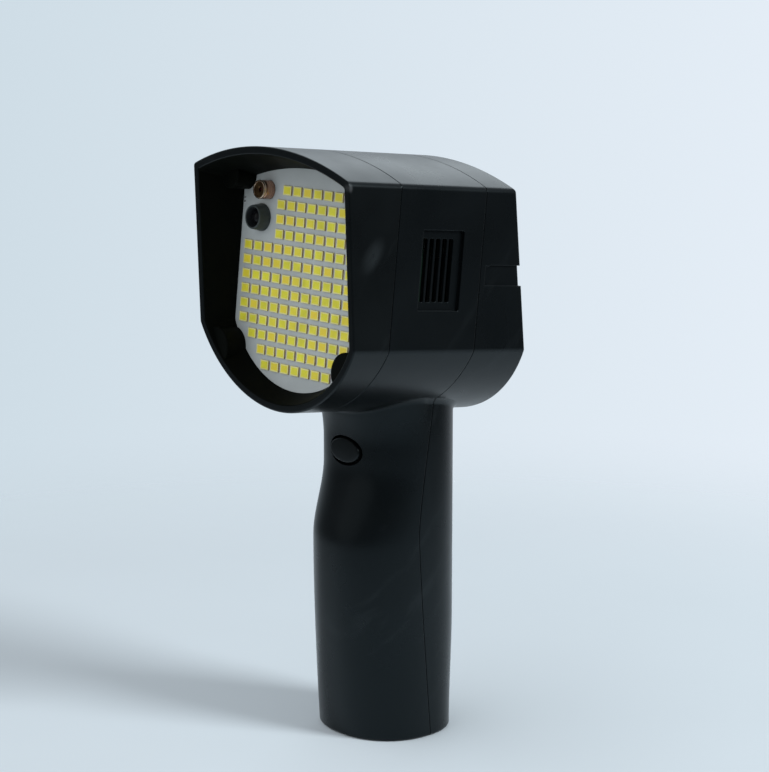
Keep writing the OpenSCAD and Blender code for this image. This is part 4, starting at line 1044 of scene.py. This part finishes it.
# floor, world and lamps
studio = {
    "floorR": 2.2, "floorSteps": 96, "fade": (0.17, 0.48), "floorTone": (0.575, 0.64, 0.69),
    "floorDrift": 0.015, "floorPatch": 6.0, "floorRough": 0.85, "floorLevel": 0.2,
    "paperLeft": (0.615, 0.715, 0.785), "paperRight": (0.785, 0.855, 0.93),
    "across": (0.656, 0.755, 0), "acrossSpan": (-0.17, 0.17),
    "mirrorFrom": (-0.62, 0.72, 0.3), "mirrorSpan": (0.2, 0.92), "mirrorLevel": (0.12, 0.76),
    "softFrom": (-0.48, -0.78, 0.4), "softSpan": (0.0, 0.85), "softLevel": (0.22, 1.24),
    "softTone": (0.96, 0.98, 1.0), "aim": (0, 0, 0.1),
}
lamps = {  # place, size, power and tone
    "keyLamp": ((1.25, 0.5, 0.95), 0.6, 23.0, (0.96, 0.99, 1.0)),
    "backLamp": ((-0.95, 1.15, 1.05), 1.1, 3.4, (0.86, 0.96, 1.0)),
    "frontLamp": ((-0.55, -1.6, 0.65), 1.6, 1.6, (1.0, 1.0, 1.0)),
}


def makeFloor():
    bm = bmesh.new()
    bmesh.ops.create_circle(bm, cap_ends=True, radius=studio["floorR"], segments=studio["floorSteps"])
    floor = makeObject(bm, "paperFloor")
    paper = bpy.data.materials.new("paperSweep")
    paper.use_nodes = True
    tree = paper.node_tree
    skin, out = tree.nodes["Principled BSDF"], tree.nodes["Material Output"]
    tone = useGroup(tree, toneDrift, Tone=(*studio["floorTone"], 1), Drift=studio["floorDrift"],
                    Size=studio["floorPatch"])
    look = {"Base Color": tone, "Roughness": studio["floorRough"],
            "Specular IOR Level": studio["floorLevel"]}
    for label, value in look.items():
        join(tree, value, skin.inputs[label])
    far = vectorCalc(tree, "LENGTH", objectPlace(tree)).outputs["Value"]
    fade = spread(tree, far, studio["fade"], how="SMOOTHSTEP")  # the floor ends in the world's paper tone
    clear = addNode(tree, "BsdfTransparent")
    join(tree, addNode(tree, "MixShader", {0: fade, 1: skin, 2: clear}), out.inputs["Surface"])
    floor.data.materials.append(paper)


def makeWorld():
    world = bpy.data.worlds.new("studioWorld")
    scene.world = world
    world.use_nodes = True
    tree = world.node_tree
    tree.nodes.clear()
    place = addNode(tree, "TexCoord").outputs["Generated"]

    def toward(direction):
        return vectorCalc(tree, "DOT_PRODUCT", place, direction).outputs["Value"]

    def lobe(name):
        return spread(tree, toward(studio[name + "From"]), studio[name + "Span"], studio[name + "Level"],
                      "SMOOTHSTEP")

    across = spread(tree, toward(studio["across"]), studio["acrossSpan"])
    paper = mixTones(tree, across, (*studio["paperLeft"], 1), (*studio["paperRight"], 1))
    shown = addNode(tree, "Background", {"Color": paper, "Strength": 1.0})
    mirrored = addNode(tree, "Background", {"Color": paper, "Strength": lobe("mirror")})
    soft = addNode(tree, "Background", {"Color": (*studio["softTone"], 1), "Strength": lobe("soft")})
    ray = addNode(tree, "LightPath").outputs
    shiny = calc(tree, "MAXIMUM", ray["Is Glossy Ray"], ray["Is Transmission Ray"])
    unseen = addNode(tree, "MixShader", {0: shiny, 1: soft, 2: mirrored})
    both = addNode(tree, "MixShader", {0: ray["Is Camera Ray"], 1: unseen, 2: shown})
    addNode(tree, "OutputWorld", {"Surface": both})


def makeLamps():
    for name, (place, size, power, tone) in lamps.items():
        data = bpy.data.lights.new(name, "AREA")
        data.shape, data.size, data.energy, data.color = "DISK", size, power, tone
        aim(addObject(name, data), place, Vector(studio["aim"]) - Vector(place))


makeFloor()
makeWorld()
makeLamps()
print("studio set")
